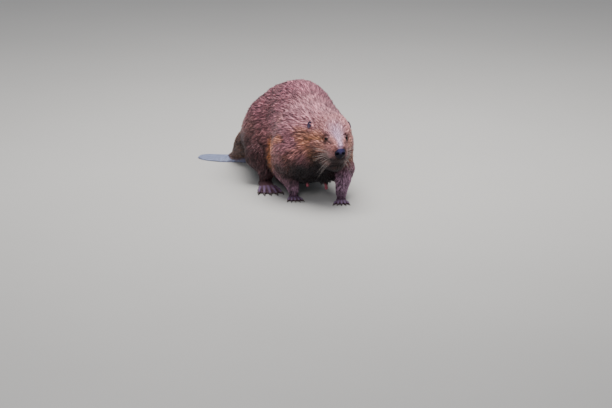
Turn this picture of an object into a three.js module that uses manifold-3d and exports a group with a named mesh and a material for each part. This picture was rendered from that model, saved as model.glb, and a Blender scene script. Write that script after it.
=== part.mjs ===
// A Eurasian beaver caught in mid walk, as a still, life-size model.
// Millimetres, +Z up, floor at Z = 0. The animal faces -Y and its left side is +X.
import * as THREE from "three";
import { mergeVertices } from "three/addons/utils/BufferGeometryUtils.js";
import Module from "manifold-3d";

const wasm = await Module();
wasm.setup();

// ---------- driving sizes ----------
const GAP = 0.36; // air between neighbouring nodes
const LEFT = 1;
const RIGHT = -1;
const SIDE_NAME = { [LEFT]: "left", [RIGHT]: "right" };

// Cell sizes of the meshes: coarse on the broad body, finer where forms are small.
const CELL = { trunk: 40, haunch: 30, limb: 18, head: 14.5, tail: 24, nose: 9 };

// The head's own frame: where it sits, how far it looks to its right, how far the nose dips.
const HEAD = { at: [51, -50, 242], yaw: -4, pitch: 8 };
const EYE = { radius: 7, forward: 26, side: 36.7, up: 6, bulge: 2.6 };
const EAR = { forward: -58, side: 62, up: 17, halfWidth: 9.5, halfDepth: 7, halfHeight: 13.5, sunk: { [-1]: -1, [1]: -5 } };
const NOSE = { forward: 73, left: 3, up: -29, halfWidth: 18, halfDepth: 15, halfHeight: 17 };

// Where each leg meets the floor (heel point), which way the foot points, and its sizes.
const HIND_FOOT = { length: 150, ball: 33, base: 0.56, toeRadius: 7.4, spread: 13, clawLength: 17, clawRadius: 4.2 };
const FORE_FOOT = { length: 60, ball: 21, base: 0.52, toeRadius: 5.2, spread: 19, clawLength: 14, clawRadius: 2.9 };
const ANKLE_CUT = 30; // height of the cut between shank and hind foot
const WRIST_CUT = 27; // height of the cut between forearm and fore foot
const LEGS = {
  hind: {
    [RIGHT]: { hip: [-74, 400, 160], knee: [-118, 325, 98], stifle: [-96, 372, 130], ankle: [-99, 285, 42], heel: [-99, 290], yaw: -9 },
    [LEFT]: { hip: [118, 425, 160], knee: [148, 352, 98], stifle: [130, 400, 130], ankle: [132, 392, 42], heel: [131, 412], yaw: 8 },
  },
  fore: {
    [RIGHT]: { shoulder: [-70, 120, 150], radii: [48, 66, 80], elbow: [-72, 140, 92], wrist: [-57, 84, 34], heel: [-56, 86], yaw: -10 },
    [LEFT]: { shoulder: [108, 92, 166], radii: [52, 70, 88], elbow: [122, 56, 100], wrist: [90, -8, 34], heel: [90, -6], yaw: -16 },
  },
};
const HAUNCH_RADII = [64, 98, 112];
const HAUNCH_PITCH = -18;

// The flat, scaly tail is laid on the floor and swung to the animal's right.
const TAIL = { root: [-83, 636], yaw: 50, length: 174, halfWidth: 45, rootWidth: 0.48, thickness: 25, edge: 4.4 };

// ---------- small helpers ----------
const RAD = Math.PI / 180;

/** Rotation of a form: yaw about Z, then pitch about X, then roll about Y. */
function turn(yaw = 0, pitch = 0, roll = 0) {
  return new THREE.Matrix4().makeRotationFromEuler(
    new THREE.Euler(pitch * RAD, roll * RAD, yaw * RAD, "ZXY"),
  );
}

/** A frame whose axes are left, back and up; place() takes forward, left, up. */
class Frame {
  constructor(at, rotation) {
    this.matrix = rotation.clone().setPosition(...at);
    this.rotation = rotation;
  }
  place(forward, left, up) {
    return new THREE.Vector3(left, -forward, up).applyMatrix4(this.matrix).toArray();
  }
}
const head = new Frame(HEAD.at, turn(HEAD.yaw, HEAD.pitch));

// ---------- the body's field: distance below zero inside the coat ----------
const forms = [];

function egg(at, radii, rotation = turn(), blend = 40) {
  const e = rotation.elements;
  const [rx, ry, rz] = radii;
  forms.push({
    blend,
    distance(x, y, z) {
      const dx = x - at[0], dy = y - at[1], dz = z - at[2];
      const u = (e[0] * dx + e[1] * dy + e[2] * dz) / rx;
      const v = (e[4] * dx + e[5] * dy + e[6] * dz) / ry;
      const w = (e[8] * dx + e[9] * dy + e[10] * dz) / rz;
      const k0 = Math.sqrt(u * u + v * v + w * w);
      const k1 = Math.sqrt((u / rx) ** 2 + (v / ry) ** 2 + (w / rz) ** 2);
      return (k0 * (k0 - 1)) / Math.max(k1, 1e-6);
    },
  });
}

function bone(a, b, ra, rb, blend = 25, flat = 1) {
  const ab = [b[0] - a[0], b[1] - a[1], b[2] - a[2]];
  const len2 = ab[0] ** 2 + ab[1] ** 2 + ab[2] ** 2;
  forms.push({
    blend,
    distance(x, y, z) {
      const px = x - a[0], py = y - a[1], pz = z - a[2];
      const t = Math.min(1, Math.max(0, (px * ab[0] + py * ab[1] + pz * ab[2]) / len2));
      const d = Math.hypot(px - t * ab[0], py - t * ab[1], (pz - t * ab[2]) / flat);
      return (d - (ra + t * (rb - ra))) * Math.min(1, flat * 1.2);
    },
  });
}

function body(x, y, z) {
  let d = forms[0].distance(x, y, z);
  for (let i = 1; i < forms.length; i++) {
    const f = forms[i], g = f.distance(x, y, z);
    const h = Math.max(f.blend - Math.abs(d - g), 0) / f.blend;
    d = Math.min(d, g) - (h * h * f.blend) / 4;
  }
  return d;
}

// trunk: chest, back, hump, loins, rump and the low belly
egg([10, 100, 168], [112, 115, 102]);
egg([28, 210, 195], [120, 140, 131], turn(), 70);
egg([38, 300, 216], [114, 150, 153], turn(), 70);
egg([24, 415, 189], [139, 120, 136], turn(8), 70);
egg([84, 150, 212], [62, 92, 78], turn(), 50);
egg([-8, 497, 130], [112, 94, 98], turn(20), 60);
egg([15, 240, 107], [112, 175, 80], turn(), 60);
egg([-45, 205, 92], [52, 92, 74], turn(), 40);
// haunches and shanks
for (const side of [RIGHT, LEFT]) {
  const leg = LEGS.hind[side];
  egg(leg.hip, HAUNCH_RADII, turn(0, HAUNCH_PITCH), 40);
  bone(leg.stifle, leg.knee, 54, 41, 35);
  bone(leg.knee, leg.ankle, 39, 23, 25);
}
// neck, skull, cheeks, muzzle, lips and chin
bone([20, 120, 206], head.place(-65, 0, -10), 112, 73, 60);
egg(head.place(-48, 0, -8), [57, 72, 54], head.rotation, 40);
for (const side of [RIGHT, LEFT]) egg(head.place(-22, side * 29, -42), [34, 60, 48], head.rotation, 30);
egg(head.place(30, 0, -34), [33, 52, 42], head.rotation, 26);
bone(head.place(10, 0, -8), head.place(58, 0, -15), 33, 25, 22);
for (const side of [RIGHT, LEFT]) egg(head.place(54, side * 15, -44), [18, 23, 22], head.rotation, 14);
egg(head.place(38, 0, -84), [23, 29, 22], head.rotation, 18);
egg(head.place(-8, 0, -84), [46, 54, 40], head.rotation, 30);
egg(head.place(NOSE.forward - 3, NOSE.left, NOSE.up), [NOSE.halfWidth - 1, NOSE.halfDepth, NOSE.halfHeight], head.rotation, 8);
// shoulders and forearms
for (const side of [RIGHT, LEFT]) {
  const leg = LEGS.fore[side];
  egg(leg.shoulder, leg.radii, turn(), 40);
  bone(leg.elbow, leg.wrist, 38, 20, 25);
}
// the furred root of the tail
bone([-24, 520, 140], [-72, 596, 78], 92, 49, 40);
bone([-72, 596, 78], [-104, 654, 18], 49, 24, 30, 0.75);

// ---------- meshing ----------
/** Surface nets over a box: one vertex per crossed cell, pulled onto the surface, and a quad across each crossed edge. */
function netMesh(field, low, high, cell) {
  const n = low.map((v, k) => Math.ceil((high[k] - v) / cell) + 3);
  const at = (k, i) => low[k] + (i - 1) * cell;
  const index = (i, j, k) => (k * n[1] + j) * n[0] + i;
  const value = new Float64Array(n[0] * n[1] * n[2]);
  for (let k = 0; k < n[2]; k++)
    for (let j = 0; j < n[1]; j++)
      for (let i = 0; i < n[0]; i++) {
        const edge = i === 0 || j === 0 || k === 0 || i === n[0] - 1 || j === n[1] - 1 || k === n[2] - 1;
        value[index(i, j, k)] = edge ? 10 : field(at(0, i), at(1, j), at(2, k));
      }
  const corners = [];
  for (let c = 0; c < 8; c++) corners.push([c & 1, (c >> 1) & 1, c >> 2]);
  const edges = [];
  for (let a = 0; a < 8; a++) for (const bit of [1, 2, 4]) if (!(a & bit)) edges.push([a, a | bit]);
  const vertexOf = new Int32Array(value.length).fill(-1);
  const points = [];
  for (let k = 0; k < n[2] - 1; k++)
    for (let j = 0; j < n[1] - 1; j++)
      for (let i = 0; i < n[0] - 1; i++) {
        const v = corners.map(([a, b, c]) => value[index(i + a, j + b, k + c)]);
        const sum = [0, 0, 0];
        let crossed = 0;
        for (const [a, b] of edges)
          if (v[a] < 0 !== v[b] < 0) {
            const t = v[a] / (v[a] - v[b]);
            for (let m = 0; m < 3; m++) sum[m] += corners[a][m] + t * (corners[b][m] - corners[a][m]);
            crossed++;
          }
        if (!crossed) continue;
        vertexOf[index(i, j, k)] = points.length;
        points.push(onSurface(field, [at(0, i), at(1, j), at(2, k)].map((o, m) => o + (cell * sum[m]) / crossed), cell));
      }
  const triangles = [];
  for (let k = 0; k < n[2] - 1; k++)
    for (let j = 0; j < n[1] - 1; j++)
      for (let i = 0; i < n[0] - 1; i++) {
        const here = value[index(i, j, k)] < 0;
        for (let axis = 0; axis < 3; axis++) {
          const step = [0, 0, 0];
          step[axis] = 1;
          const there = value[index(i + step[0], j + step[1], k + step[2])] < 0;
          if (here === there) continue;
          const u = [0, 0, 0], w = [0, 0, 0];
          u[(axis + 1) % 3] = 1;
          w[(axis + 2) % 3] = 1;
          const quad = [[0, 0], [1, 0], [1, 1], [0, 1]].map(([a, b]) =>
            vertexOf[index(i - a * u[0] - b * w[0], j - a * u[1] - b * w[1], k - a * u[2] - b * w[2])]);
          if (!here) quad.reverse();
          const span = (a, b) => Math.hypot(...points[quad[a]].map((p, m) => p - points[quad[b]][m]));
          if (span(0, 2) < span(1, 3)) triangles.push(quad[0], quad[1], quad[2], quad[0], quad[2], quad[3]);
          else triangles.push(quad[0], quad[1], quad[3], quad[1], quad[2], quad[3]);
        }
      }
  return meshOf(points, triangles);
}

/** Two Newton steps along the gradient, kept within half a cell. */
function onSurface(field, start, cell) {
  const p = [...start], e = 0.5;
  for (let pass = 0; pass < 2; pass++) {
    const d = field(...p);
    const g = [
      field(p[0] + e, p[1], p[2]) - field(p[0] - e, p[1], p[2]),
      field(p[0], p[1] + e, p[2]) - field(p[0], p[1] - e, p[2]),
      field(p[0], p[1], p[2] + e) - field(p[0], p[1], p[2] - e),
    ].map((v) => v / (2 * e));
    const g2 = Math.max(g[0] ** 2 + g[1] ** 2 + g[2] ** 2, 0.05);
    for (let m = 0; m < 3; m++)
      p[m] = Math.min(start[m] + cell / 2, Math.max(start[m] - cell / 2, p[m] - (d * g[m]) / g2));
  }
  return p;
}

function meshOf(points, triangles) {
  return new THREE.BufferGeometry()
    .setAttribute("position", new THREE.Float32BufferAttribute(points.flat(), 3))
    .setIndex(triangles);
}

/** A closed tube through rings of equal count; each end is closed by a fan. */
function loft(rings) {
  const n = rings[0].length;
  const points = rings.flat();
  const middle = (ring) => ring.reduce((s, p) => s.map((v, m) => v + p[m] / n), [0, 0, 0]);
  const first = points.push(middle(rings[0])) - 1;
  const last = points.push(middle(rings[rings.length - 1])) - 1;
  const triangles = [];
  for (let r = 0; r < rings.length - 1; r++)
    for (let i = 0; i < n; i++) {
      const a = r * n + i, b = r * n + ((i + 1) % n);
      triangles.push(a, b, b + n, a, b + n, a + n);
    }
  for (let i = 0; i < n; i++) {
    const j = (i + 1) % n, top = (rings.length - 1) * n;
    triangles.push(first, j, i, last, top + i, top + j);
  }
  const geometry = meshOf(points, triangles);
  return volumeOf(geometry) < 0 ? meshOf(points, triangles.reverse()) : geometry;
}

function volumeOf(geometry) {
  const p = geometry.attributes.position, ix = geometry.index.array;
  const a = new THREE.Vector3(), b = new THREE.Vector3(), c = new THREE.Vector3();
  let v = 0;
  for (let i = 0; i < ix.length; i += 3) {
    a.fromBufferAttribute(p, ix[i]);
    b.fromBufferAttribute(p, ix[i + 1]);
    c.fromBufferAttribute(p, ix[i + 2]);
    v += a.dot(b.cross(c)) / 6;
  }
  return v;
}

// ---------- solids ----------
function solid(geometry) {
  const bare = geometry.clone();
  bare.deleteAttribute("normal");
  bare.deleteAttribute("uv");
  const merged = mergeVertices(bare, 1e-4);
  return new wasm.Manifold(new wasm.Mesh({
    numProp: 3,
    vertProperties: new Float32Array(merged.attributes.position.array),
    triVerts: new Uint32Array(merged.index.array),
  }));
}

/** Everything on the side of a plane that its normal points away from. */
function behind(point, normal) {
  const box = new THREE.BoxGeometry(3000, 3000, 3000).translate(0, 0, -1500);
  const spin = new THREE.Quaternion().setFromUnitVectors(new THREE.Vector3(0, 0, 1), new THREE.Vector3(...normal).normalize());
  return solid(box.applyQuaternion(spin).translate(...point));
}

/** A region in the shape of an egg, grown or shrunk by an amount. */
function ball(at, radii, rotation, grow, detail = 1) {
  return solid(new THREE.IcosahedronGeometry(1, detail)
    .scale(...radii.map((r) => r + grow)).applyMatrix4(rotation).translate(...at));
}

/** A region in the shape of a straight cone between two points. */
function horn(a, b, ra, rb, grow, sides = 12) {
  const from = new THREE.Vector3(...a), to = new THREE.Vector3(...b);
  const axis = to.clone().sub(from), length = axis.length();
  const tube = new THREE.CylinderGeometry(rb + grow, ra + grow, length + 2 * grow, sides);
  tube.applyQuaternion(new THREE.Quaternion().setFromUnitVectors(new THREE.Vector3(0, 1, 0), axis.normalize()));
  return solid(tube.translate(...from.add(to).multiplyScalar(0.5).toArray()));
}

function largest(made) {
  return made.decompose().reduce((a, b) => (b.volume() > a.volume() ? b : a));
}

// ---------- materials ----------
const MATERIAL = {
  coat: [0x5b4334, 0.9],
  skin: [0x8d8290, 0.5],
  scales: [0x5d5661, 0.6],
  nose: [0x2a2228, 0.45],
  ear: [0x3a2c26, 0.85],
  claw: [0x2b2422, 0.4],
  eye: [0x0c0a0a, 0.08],
};
const model = new THREE.Group();

function addNode(name, made, material) {
  const source = largest(made).getMesh();
  const [color, roughness] = MATERIAL[material];
  const geometry = new THREE.BufferGeometry()
    .setAttribute("position", new THREE.Float32BufferAttribute(source.vertProperties, 3))
    .setIndex([...source.triVerts]);
  const mesh = new THREE.Mesh(geometry, new THREE.MeshStandardMaterial({ color, roughness, name: material }));
  mesh.name = name;
  model.add(mesh);
}

// ---------- regions that share the body out into nodes ----------
// Each takes its own region of the body; a later one leaves out the regions before it.
const claims = [];

function claim(region) {
  claims.push(region);
}

function claimed(region, low, high, cell) {
  let piece = solid(netMesh(body, low, high, cell)).intersect(region(-GAP / 2));
  for (const earlier of claims) piece = piece.subtract(earlier(GAP / 2));
  return piece;
}

/** The point where a line from inside the body comes out of the coat. */
function emerge(from, toward) {
  const aim = new THREE.Vector3(...toward).sub(new THREE.Vector3(...from)).normalize();
  const at = new THREE.Vector3(...from);
  for (let step = 0; step < 600 && body(...at.toArray()) < 0; step++) at.addScaledVector(aim, 0.25);
  return { at, aim };
}

// eyes: dark beads set into the skull
for (const side of [RIGHT, LEFT]) {
  const { at, aim } = emerge(head.place(0, 0, -12), head.place(EYE.forward, side * EYE.side, EYE.up));
  at.addScaledVector(aim, EYE.bulge - EYE.radius);
  const back = at.clone().addScaledVector(aim, -EYE.radius * 0.35);
  const eye = (grow) => ball(at.toArray(), [EYE.radius, EYE.radius, EYE.radius], turn(), grow)
    .intersect(behind(back.clone().addScaledVector(aim, -grow).toArray(), aim.clone().negate().toArray()));
  addNode("eye_" + SIDE_NAME[side], eye(0), "eye");
  claim((grow) => eye(grow * 2));
}

// ears: small cupped shells laid back along the head, open to the side and forward
for (const side of [RIGHT, LEFT]) {
  const { at, aim } = emerge(head.place(-40, 0, -30), head.place(EAR.forward, side * EAR.side, EAR.up));
  at.addScaledVector(aim, EAR.sunk[side]);
  const lean = head.rotation.clone().multiply(turn(side * 56, -34, side * 14));
  const radii = [EAR.halfWidth, EAR.halfDepth, EAR.halfHeight];
  const shell = (grow) => ball(at.toArray(), radii, lean, grow);
  const mouth = new THREE.Vector3(0, -EAR.halfDepth * 1.15, EAR.halfHeight * 0.2).applyMatrix4(lean).add(at);
  const cup = ball(mouth.toArray(), radii.map((r) => r * 0.7), lean, 0);
  addNode("ear_" + SIDE_NAME[side], shell(0).subtract(cup), "ear");
  claim((grow) => shell(grow * 2));
}

// nose pad
{
  const at = head.place(NOSE.forward + 2, NOSE.left, NOSE.up);
  const pad = (grow) => ball(at, [NOSE.halfWidth, NOSE.halfDepth, NOSE.halfHeight], head.rotation, grow);
  addNode("nose_pad", claimed(pad, at.map((v) => v - 42), at.map((v) => v + 42), CELL.nose), "nose");
  claim(pad);
}

// head and neck
{
  const skull = (grow) => ball(head.place(-6, 0, -30), [104, 114, 104], head.rotation, grow);
  addNode("head", claimed(skull, [-66, -180, 80], [170, 100, 345], CELL.head), "coat");
  claim(skull);
  const collar = (grow) => horn([22, 142, 236], head.place(0, 0, -6), 138, 96, grow, 16);
  addNode("neck", claimed(collar, [-150, -90, 40], [200, 190, 400], CELL.haunch), "coat");
  claim(collar);
}

// fore legs
for (const side of [RIGHT, LEFT]) {
  const leg = LEGS.fore[side];
  const name = SIDE_NAME[side];
  const mix = (t) => leg.elbow.map((v, m) => v + t * (leg.wrist[m] - v));
  const reach = (grow) => horn(mix(-0.25), mix(1.9), 56, 30, grow, 10);
  const lower = (grow) => reach(grow).intersect(behind([0, 0, WRIST_CUT - grow], [0, 0, -1]));
  const low = [leg.wrist[0] - 90, leg.wrist[1] - 70, 0], high = [leg.wrist[0] + 110, leg.wrist[1] + 130, 190];
  addNode("forearm_" + name, claimed(lower, low, high, CELL.limb), "coat");
  claim(reach);
}

// hind legs
for (const side of [RIGHT, LEFT]) {
  const leg = LEGS.hind[side];
  const name = SIDE_NAME[side];
  const lower = (grow) => horn([leg.knee[0] + side * 6, leg.knee[1] + 14, 138], [leg.ankle[0], leg.ankle[1], -6], 72, 34, grow, 10);
  const shank = (grow) => lower(grow).intersect(behind([0, 0, ANKLE_CUT - grow], [0, 0, -1]));
  addNode("shank_" + name, claimed(shank, [leg.knee[0] - 100, leg.ankle[1] - 70, 0], [leg.knee[0] + 100, leg.stifle[1] + 70, 200], CELL.limb), "coat");
  claim(lower);
  const haunch = (grow) => ball([leg.hip[0] + side * 24, leg.hip[1], leg.hip[2]], [78, 100, 116], turn(0, HAUNCH_PITCH), grow);
  addNode("haunch_" + name, claimed(haunch, leg.hip.map((v) => v - 150), leg.hip.map((v) => v + 150), CELL.haunch), "coat");
  claim(haunch);
}

// trunk and the root of the tail
{
  const cut = [-38, 558, 98], away = [-0.55, 0.62, -0.56];
  const rootSide = (grow) => behind([cut[0] - away[0] * grow, cut[1] - away[1] * grow, cut[2] - away[2] * grow], away.map((v) => -v));
  const bladeCut = [TAIL.root[0], TAIL.root[1], 0];
  const along = [-Math.sin(TAIL.yaw * RAD), Math.cos(TAIL.yaw * RAD), 0];
  const rump = (grow) => rootSide(grow).intersect(behind(bladeCut.map((v, m) => v + along[m] * grow), along)).subtract(behind([0, 0, -grow], [0, 0, 1]));
  addNode("tail_root", claimed(rump, [-220, 400, -30], [60, 720, 190], CELL.tail), "coat");
  claim(rootSide);
  addNode("trunk", claimed(() => behind([0, 0, 1000], [0, 0, 1]), [-160, -60, 2], [240, 640, 400], CELL.trunk), "coat");
}

// ---------- tail blade ----------
/** Half width of the paddle at a share of its length: a neck, straight sides and a broad round end. */
function paddleWidth(t) {
  const widen = Math.min(1, t / 0.45);
  const sides = TAIL.rootWidth + (1 - TAIL.rootWidth) * widen * widen * (3 - 2 * widen);
  return TAIL.halfWidth * sides * Math.sqrt(1 - Math.max(0, (t - 0.55) / 0.45) ** 3.4);
}

{
  const frame = new Frame([TAIL.root[0], TAIL.root[1], 0], turn(TAIL.yaw + 180));
  const shares = [0, 0.12, 0.26, 0.42, 0.58, 0.74, 0.87, 0.95, 0.988];
  const AROUND = 12;
  const rings = shares.map((t) => {
    const crown = TAIL.edge + (TAIL.thickness - TAIL.edge) * (1 - t) ** 1.25;
    return Array.from({ length: AROUND }, (_, i) => {
      const a = (2 * Math.PI * i) / AROUND;
      const up = Math.sin(a), rim = TAIL.edge * 0.5;
      const height = up >= 0 ? rim + up * (crown - rim) : rim * Math.max(0, 1 + 1.6 * up);
      return frame.place(GAP + t * TAIL.length, Math.cos(a) * paddleWidth(t), height);
    });
  });
  addNode("tail_blade", solid(loft(rings)), "scales");
}

// ---------- feet ----------
// A section that stands on the floor: left, height as shares of half width and height.
const SOLED = [[-0.72, 0], [0.72, 0], [1, 0.42], [0.56, 1], [-0.56, 1], [-1, 0.42]];
const ROUND = Array.from({ length: 5 }, (_, i) => [Math.cos((i + 0.25) * 0.4 * Math.PI), Math.sin((i + 0.25) * 0.4 * Math.PI)]);

/** A ring across a foot: where it stands, half width, height and how far it is lifted. */
function footRing(frame, section, forward, left, halfWidth, height, lift, aim) {
  return section.map(([l, u]) =>
    frame.place(forward - l * halfWidth * Math.sin(aim), left + l * halfWidth * Math.cos(aim), lift + u * height));
}

function makeFoot(kind, side, size, cutHeight, ankleRadius) {
  const leg = LEGS[kind][side];
  const hind = kind === "hind";
  const top = hind ? leg.ankle : leg.wrist;
  const frame = new Frame([...leg.heel, 0], turn(leg.yaw));
  const long = size.length, r = size.toeRadius;
  const sole = [[-0.13, 0.36, 1.6], [0, 0.66, 2.5], [size.base * 0.6, 0.74, 2.3], [size.base, 1.02, 1.9], [size.base + 0.12, 0.94, 1.1]];
  let foot = solid(loft(sole.map(([f, w, h]) => footRing(frame, SOLED, f * long, 0, w * size.ball, h * r, 0, 0))));
  const ankle = [r * 0.7, cutHeight - GAP / 2].map((h) =>
    Array.from({ length: 8 }, (_, i) => {
      const a = (2 * Math.PI * i) / 8, t = Math.min(1, h / top[2]);
      const c = leg.heel.map((v, m) => v + (top[m] - v) * t);
      return [c[0] + Math.cos(a) * ankleRadius, c[1] + Math.sin(a) * ankleRadius, h];
    }));
  foot = foot.add(solid(loft(ankle)));
  const toes = [-1, -0.5, 0, 0.5, 1].map((t) => {
    const aim = t * size.spread * RAD;
    const length = long * (1 - size.base) * (1 - 0.2 * t * t - 0.06 * t * side) + long * 0.08;
    const from = [long * (size.base - 0.08), t * size.ball * 0.8];
    const point = (s) => [from[0] + s * length * Math.cos(aim), from[1] + s * length * Math.sin(aim)];
    const rings = [[0, 1.05, 1.7], [1, 0.78, 1.3]];
    foot = foot.add(solid(loft(rings.map(([s, w, h]) => footRing(frame, SOLED, ...point(s), r * w, r * h, 0, aim)))));
    return { tip: point(1), aim };
  });
  if (hind) {
    const inner = long * (size.base - 0.1), flank = size.ball * 0.8;
    const outline = [[inner, -flank]];
    toes.forEach(({ tip }, i) => {
      outline.push([tip[0] - 6, tip[1]]);
      if (toes[i + 1]) outline.push([(tip[0] + toes[i + 1].tip[0]) / 2 - 17, (tip[1] + toes[i + 1].tip[1]) / 2]);
    });
    outline.push([inner, flank]);
    const shape = new THREE.Shape(outline.map(([f, l]) => new THREE.Vector2(l, -f)));
    const web = new THREE.ExtrudeGeometry(shape, { depth: 5, bevelEnabled: false, curveSegments: 1 });
    foot = foot.add(solid(web.applyMatrix4(frame.matrix)));
  }
  addNode(kind + "_foot_" + SIDE_NAME[side], foot, "skin");
  toes.forEach(({ tip, aim }, i) => {
    const rings = [[GAP, 1, r * 0.25], [size.clawLength, 0.22, 1]].map(([s, w, lift]) =>
      footRing(frame, ROUND, tip[0] + s * Math.cos(aim), tip[1] + s * Math.sin(aim), size.clawRadius * w, size.clawRadius * w * 0.9, lift + size.clawRadius * w * 0.9, aim));
    addNode("claw_" + kind + "_" + SIDE_NAME[side] + "_" + (i + 1), solid(loft(rings)), "claw");
  });
}
for (const side of [RIGHT, LEFT]) {
  makeFoot("hind", side, HIND_FOOT, ANKLE_CUT, 23);
  makeFoot("fore", side, FORE_FOOT, WRIST_CUT, 19);
}

// The model's origin is the middle of its footprint on the floor.
const extent = new THREE.Box3().setFromObject(model);
const middle = extent.getCenter(new THREE.Vector3());
for (const mesh of model.children) mesh.geometry.translate(-middle.x, -middle.y, -extent.min.z);

export default model;
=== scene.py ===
"""A Eurasian beaver in mid walk, as a still, life-size model: skin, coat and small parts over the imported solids.

Sizes are in millimetres in the animal's own stance: the floor is z = 0, it faces -Y and its left is +X.
They become metres in the solids' frame where the meshes are made.
"""

import logging
import math
from abc import ABC, abstractmethod
from dataclasses import dataclass, field
from enum import Enum, IntEnum
from typing import Any, Callable

import bpy
import numpy as np
from mathutils import Matrix, Vector
from mathutils.kdtree import KDTree


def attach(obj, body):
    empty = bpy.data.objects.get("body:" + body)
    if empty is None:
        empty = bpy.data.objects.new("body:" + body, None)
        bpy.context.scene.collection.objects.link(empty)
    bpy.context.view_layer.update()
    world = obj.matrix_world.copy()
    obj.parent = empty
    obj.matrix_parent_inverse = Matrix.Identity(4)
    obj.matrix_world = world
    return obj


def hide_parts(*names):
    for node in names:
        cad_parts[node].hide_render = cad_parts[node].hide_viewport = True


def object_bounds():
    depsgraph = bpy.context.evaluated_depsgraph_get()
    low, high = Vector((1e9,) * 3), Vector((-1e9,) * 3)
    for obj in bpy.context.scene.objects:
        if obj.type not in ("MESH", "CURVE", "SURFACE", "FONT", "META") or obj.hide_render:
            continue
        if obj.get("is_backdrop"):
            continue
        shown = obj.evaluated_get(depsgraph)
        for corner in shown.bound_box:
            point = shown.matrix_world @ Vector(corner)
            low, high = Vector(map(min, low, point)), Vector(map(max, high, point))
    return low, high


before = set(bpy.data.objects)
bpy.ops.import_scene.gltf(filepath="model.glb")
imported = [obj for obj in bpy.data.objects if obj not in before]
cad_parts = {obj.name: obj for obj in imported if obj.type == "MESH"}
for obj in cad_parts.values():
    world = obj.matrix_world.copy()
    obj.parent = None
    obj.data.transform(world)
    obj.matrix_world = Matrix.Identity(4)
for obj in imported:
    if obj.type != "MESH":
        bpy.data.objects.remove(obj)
CAD_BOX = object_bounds()
LOG = logging.getLogger("beaver")

Points = np.ndarray
Colour = tuple[float, float, float]
Triple = tuple[float, float, float]

MIDDLE = np.array([-15.3199, 314.4357, 0.0])
BODY = "root"


class Side(Enum):
    """The animal's own sides, as the sign of x."""

    LEFT = 1
    RIGHT = -1

    @property
    def label(self) -> str:
        """The side's name as the solids spell it."""
        return self.name.lower()


class Region(IntEnum):
    """Kinds of surface, each with its own coat and colour, as columns of the share tables."""

    TRUNK = 0
    HAUNCH = 1
    SHANK = 2
    NECK = 3
    SKULL = 4
    CHEEK = 5
    MUZZLE = 6
    LIP = 7
    CHIN = 8
    NOSE = 9
    SHOULDER = 10
    FOREARM = 11
    TAIL_ROOT = 12
    FOOT = 13
    BLADE = 14
    TEAT = 15
    LID = 16


BROAD = (Region.TRUNK, Region.HAUNCH, Region.NECK, Region.SHOULDER)
SMALL = (Region.LID, Region.NOSE, Region.TEAT)


def srgb(red: int, green: int, blue: int) -> Colour:
    """A colour given as screen values, as linear light."""
    shares = (v / 255 for v in (red, green, blue))
    return tuple(c / 12.92 if c <= 0.04045 else ((c + 0.055) / 1.055) ** 2.4 for c in shares)


def turn(yaw: float = 0, pitch: float = 0, roll: float = 0) -> np.ndarray:
    """Rotation by yaw about Z, then pitch about X, then roll about Y.

    Args:
        yaw: Degrees about Z.
        pitch: Degrees about X.
        roll: Degrees about Y.

    Returns:
        The 3 by 3 matrix.
    """
    turns = ((yaw, "Z"), (pitch, "X"), (roll, "Y"))
    z, x, y = (Matrix.Rotation(math.radians(angle), 3, axis) for angle, axis in turns)
    return np.array(z @ x @ y)


def unit(v: np.ndarray) -> np.ndarray:
    """Vectors scaled to length one."""
    return v / np.maximum(np.linalg.norm(v, axis=-1, keepdims=True), 1e-9)


def smooth(low: float, high: float, v: np.ndarray) -> np.ndarray:
    """A soft step from 0 at low to 1 at high."""
    t = np.clip((v - low) / (high - low), 0, 1)
    return t * t * (3 - 2 * t)


def single(v: Triple) -> np.ndarray:
    """Numbers in single precision, which is enough for distances."""
    return np.array(v, np.float32)


def melt(one: np.ndarray, other: np.ndarray, blend: float) -> np.ndarray:
    """Two fields joined, and rounded over the breadth of the blend where they meet."""
    h = np.maximum(blend - np.abs(one - other), 0)
    return np.minimum(one, other) - h * h / (4 * blend)


def beside(p: Points, start: Triple, end: Triple) -> tuple[np.ndarray, Points]:
    """Where points lie beside a straight line.

    Args:
        p: Points in millimetres.
        start: The line's start.
        end: The line's end.

    Returns:
        The share of the line next to each point, and the way from there to the point.
    """
    a, ab = single(start), single(end) - single(start)
    t = np.clip(((p - a) @ ab) / max(float(ab @ ab), 1e-6), 0, 1)
    return t, p - a - t[..., None] * ab


@dataclass(frozen=True)
class Stand:
    """A small frame whose axes are left, back and up."""

    at: Triple
    rotation: np.ndarray

    def place(self, forward: float, left: float, up: float) -> Triple:
        """A point given forward, left and up of the frame's own place."""
        return tuple(float(v) for v in np.array(self.at) + self.rotation @ np.array([left, -forward, up]))

    def local(self, p: Points) -> Points:
        """Points as forward, left, up in this frame."""
        q = (p - np.array(self.at)) @ self.rotation
        return np.stack([-q[..., 1], q[..., 0], q[..., 2]], -1)


# ---------- forms of flesh ----------
@dataclass(frozen=True)
class Form(ABC):
    """One rounded form of the body, given out to the tips of its coat."""

    region: Region
    coat: float
    blend: float

    @abstractmethod
    def distance(self, p: Points) -> np.ndarray:
        """Distance of points from the form's outside, negative within."""

    @abstractmethod
    def reach(self) -> tuple[np.ndarray, np.ndarray]:
        """The form's lowest and highest corners."""


@dataclass(frozen=True)
class Egg(Form):
    """An ellipsoid."""

    at: Triple
    radii: Triple
    rotation: np.ndarray = field(default_factory=turn)

    def distance(self, p: Points) -> np.ndarray:
        """Distance of points from the egg."""
        radii = single(self.radii)
        q = (p - single(self.at)) @ self.rotation.astype(np.float32) / radii
        size = np.sqrt((q * q).sum(-1))
        slope = np.sqrt(((q / radii) ** 2).sum(-1))
        return size * (size - 1) / np.maximum(slope, 1e-6)

    def reach(self) -> tuple[np.ndarray, np.ndarray]:
        """The egg's box."""
        half = np.sqrt(((self.rotation * np.array(self.radii)) ** 2).sum(1))
        return np.array(self.at) - half, np.array(self.at) + half


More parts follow.
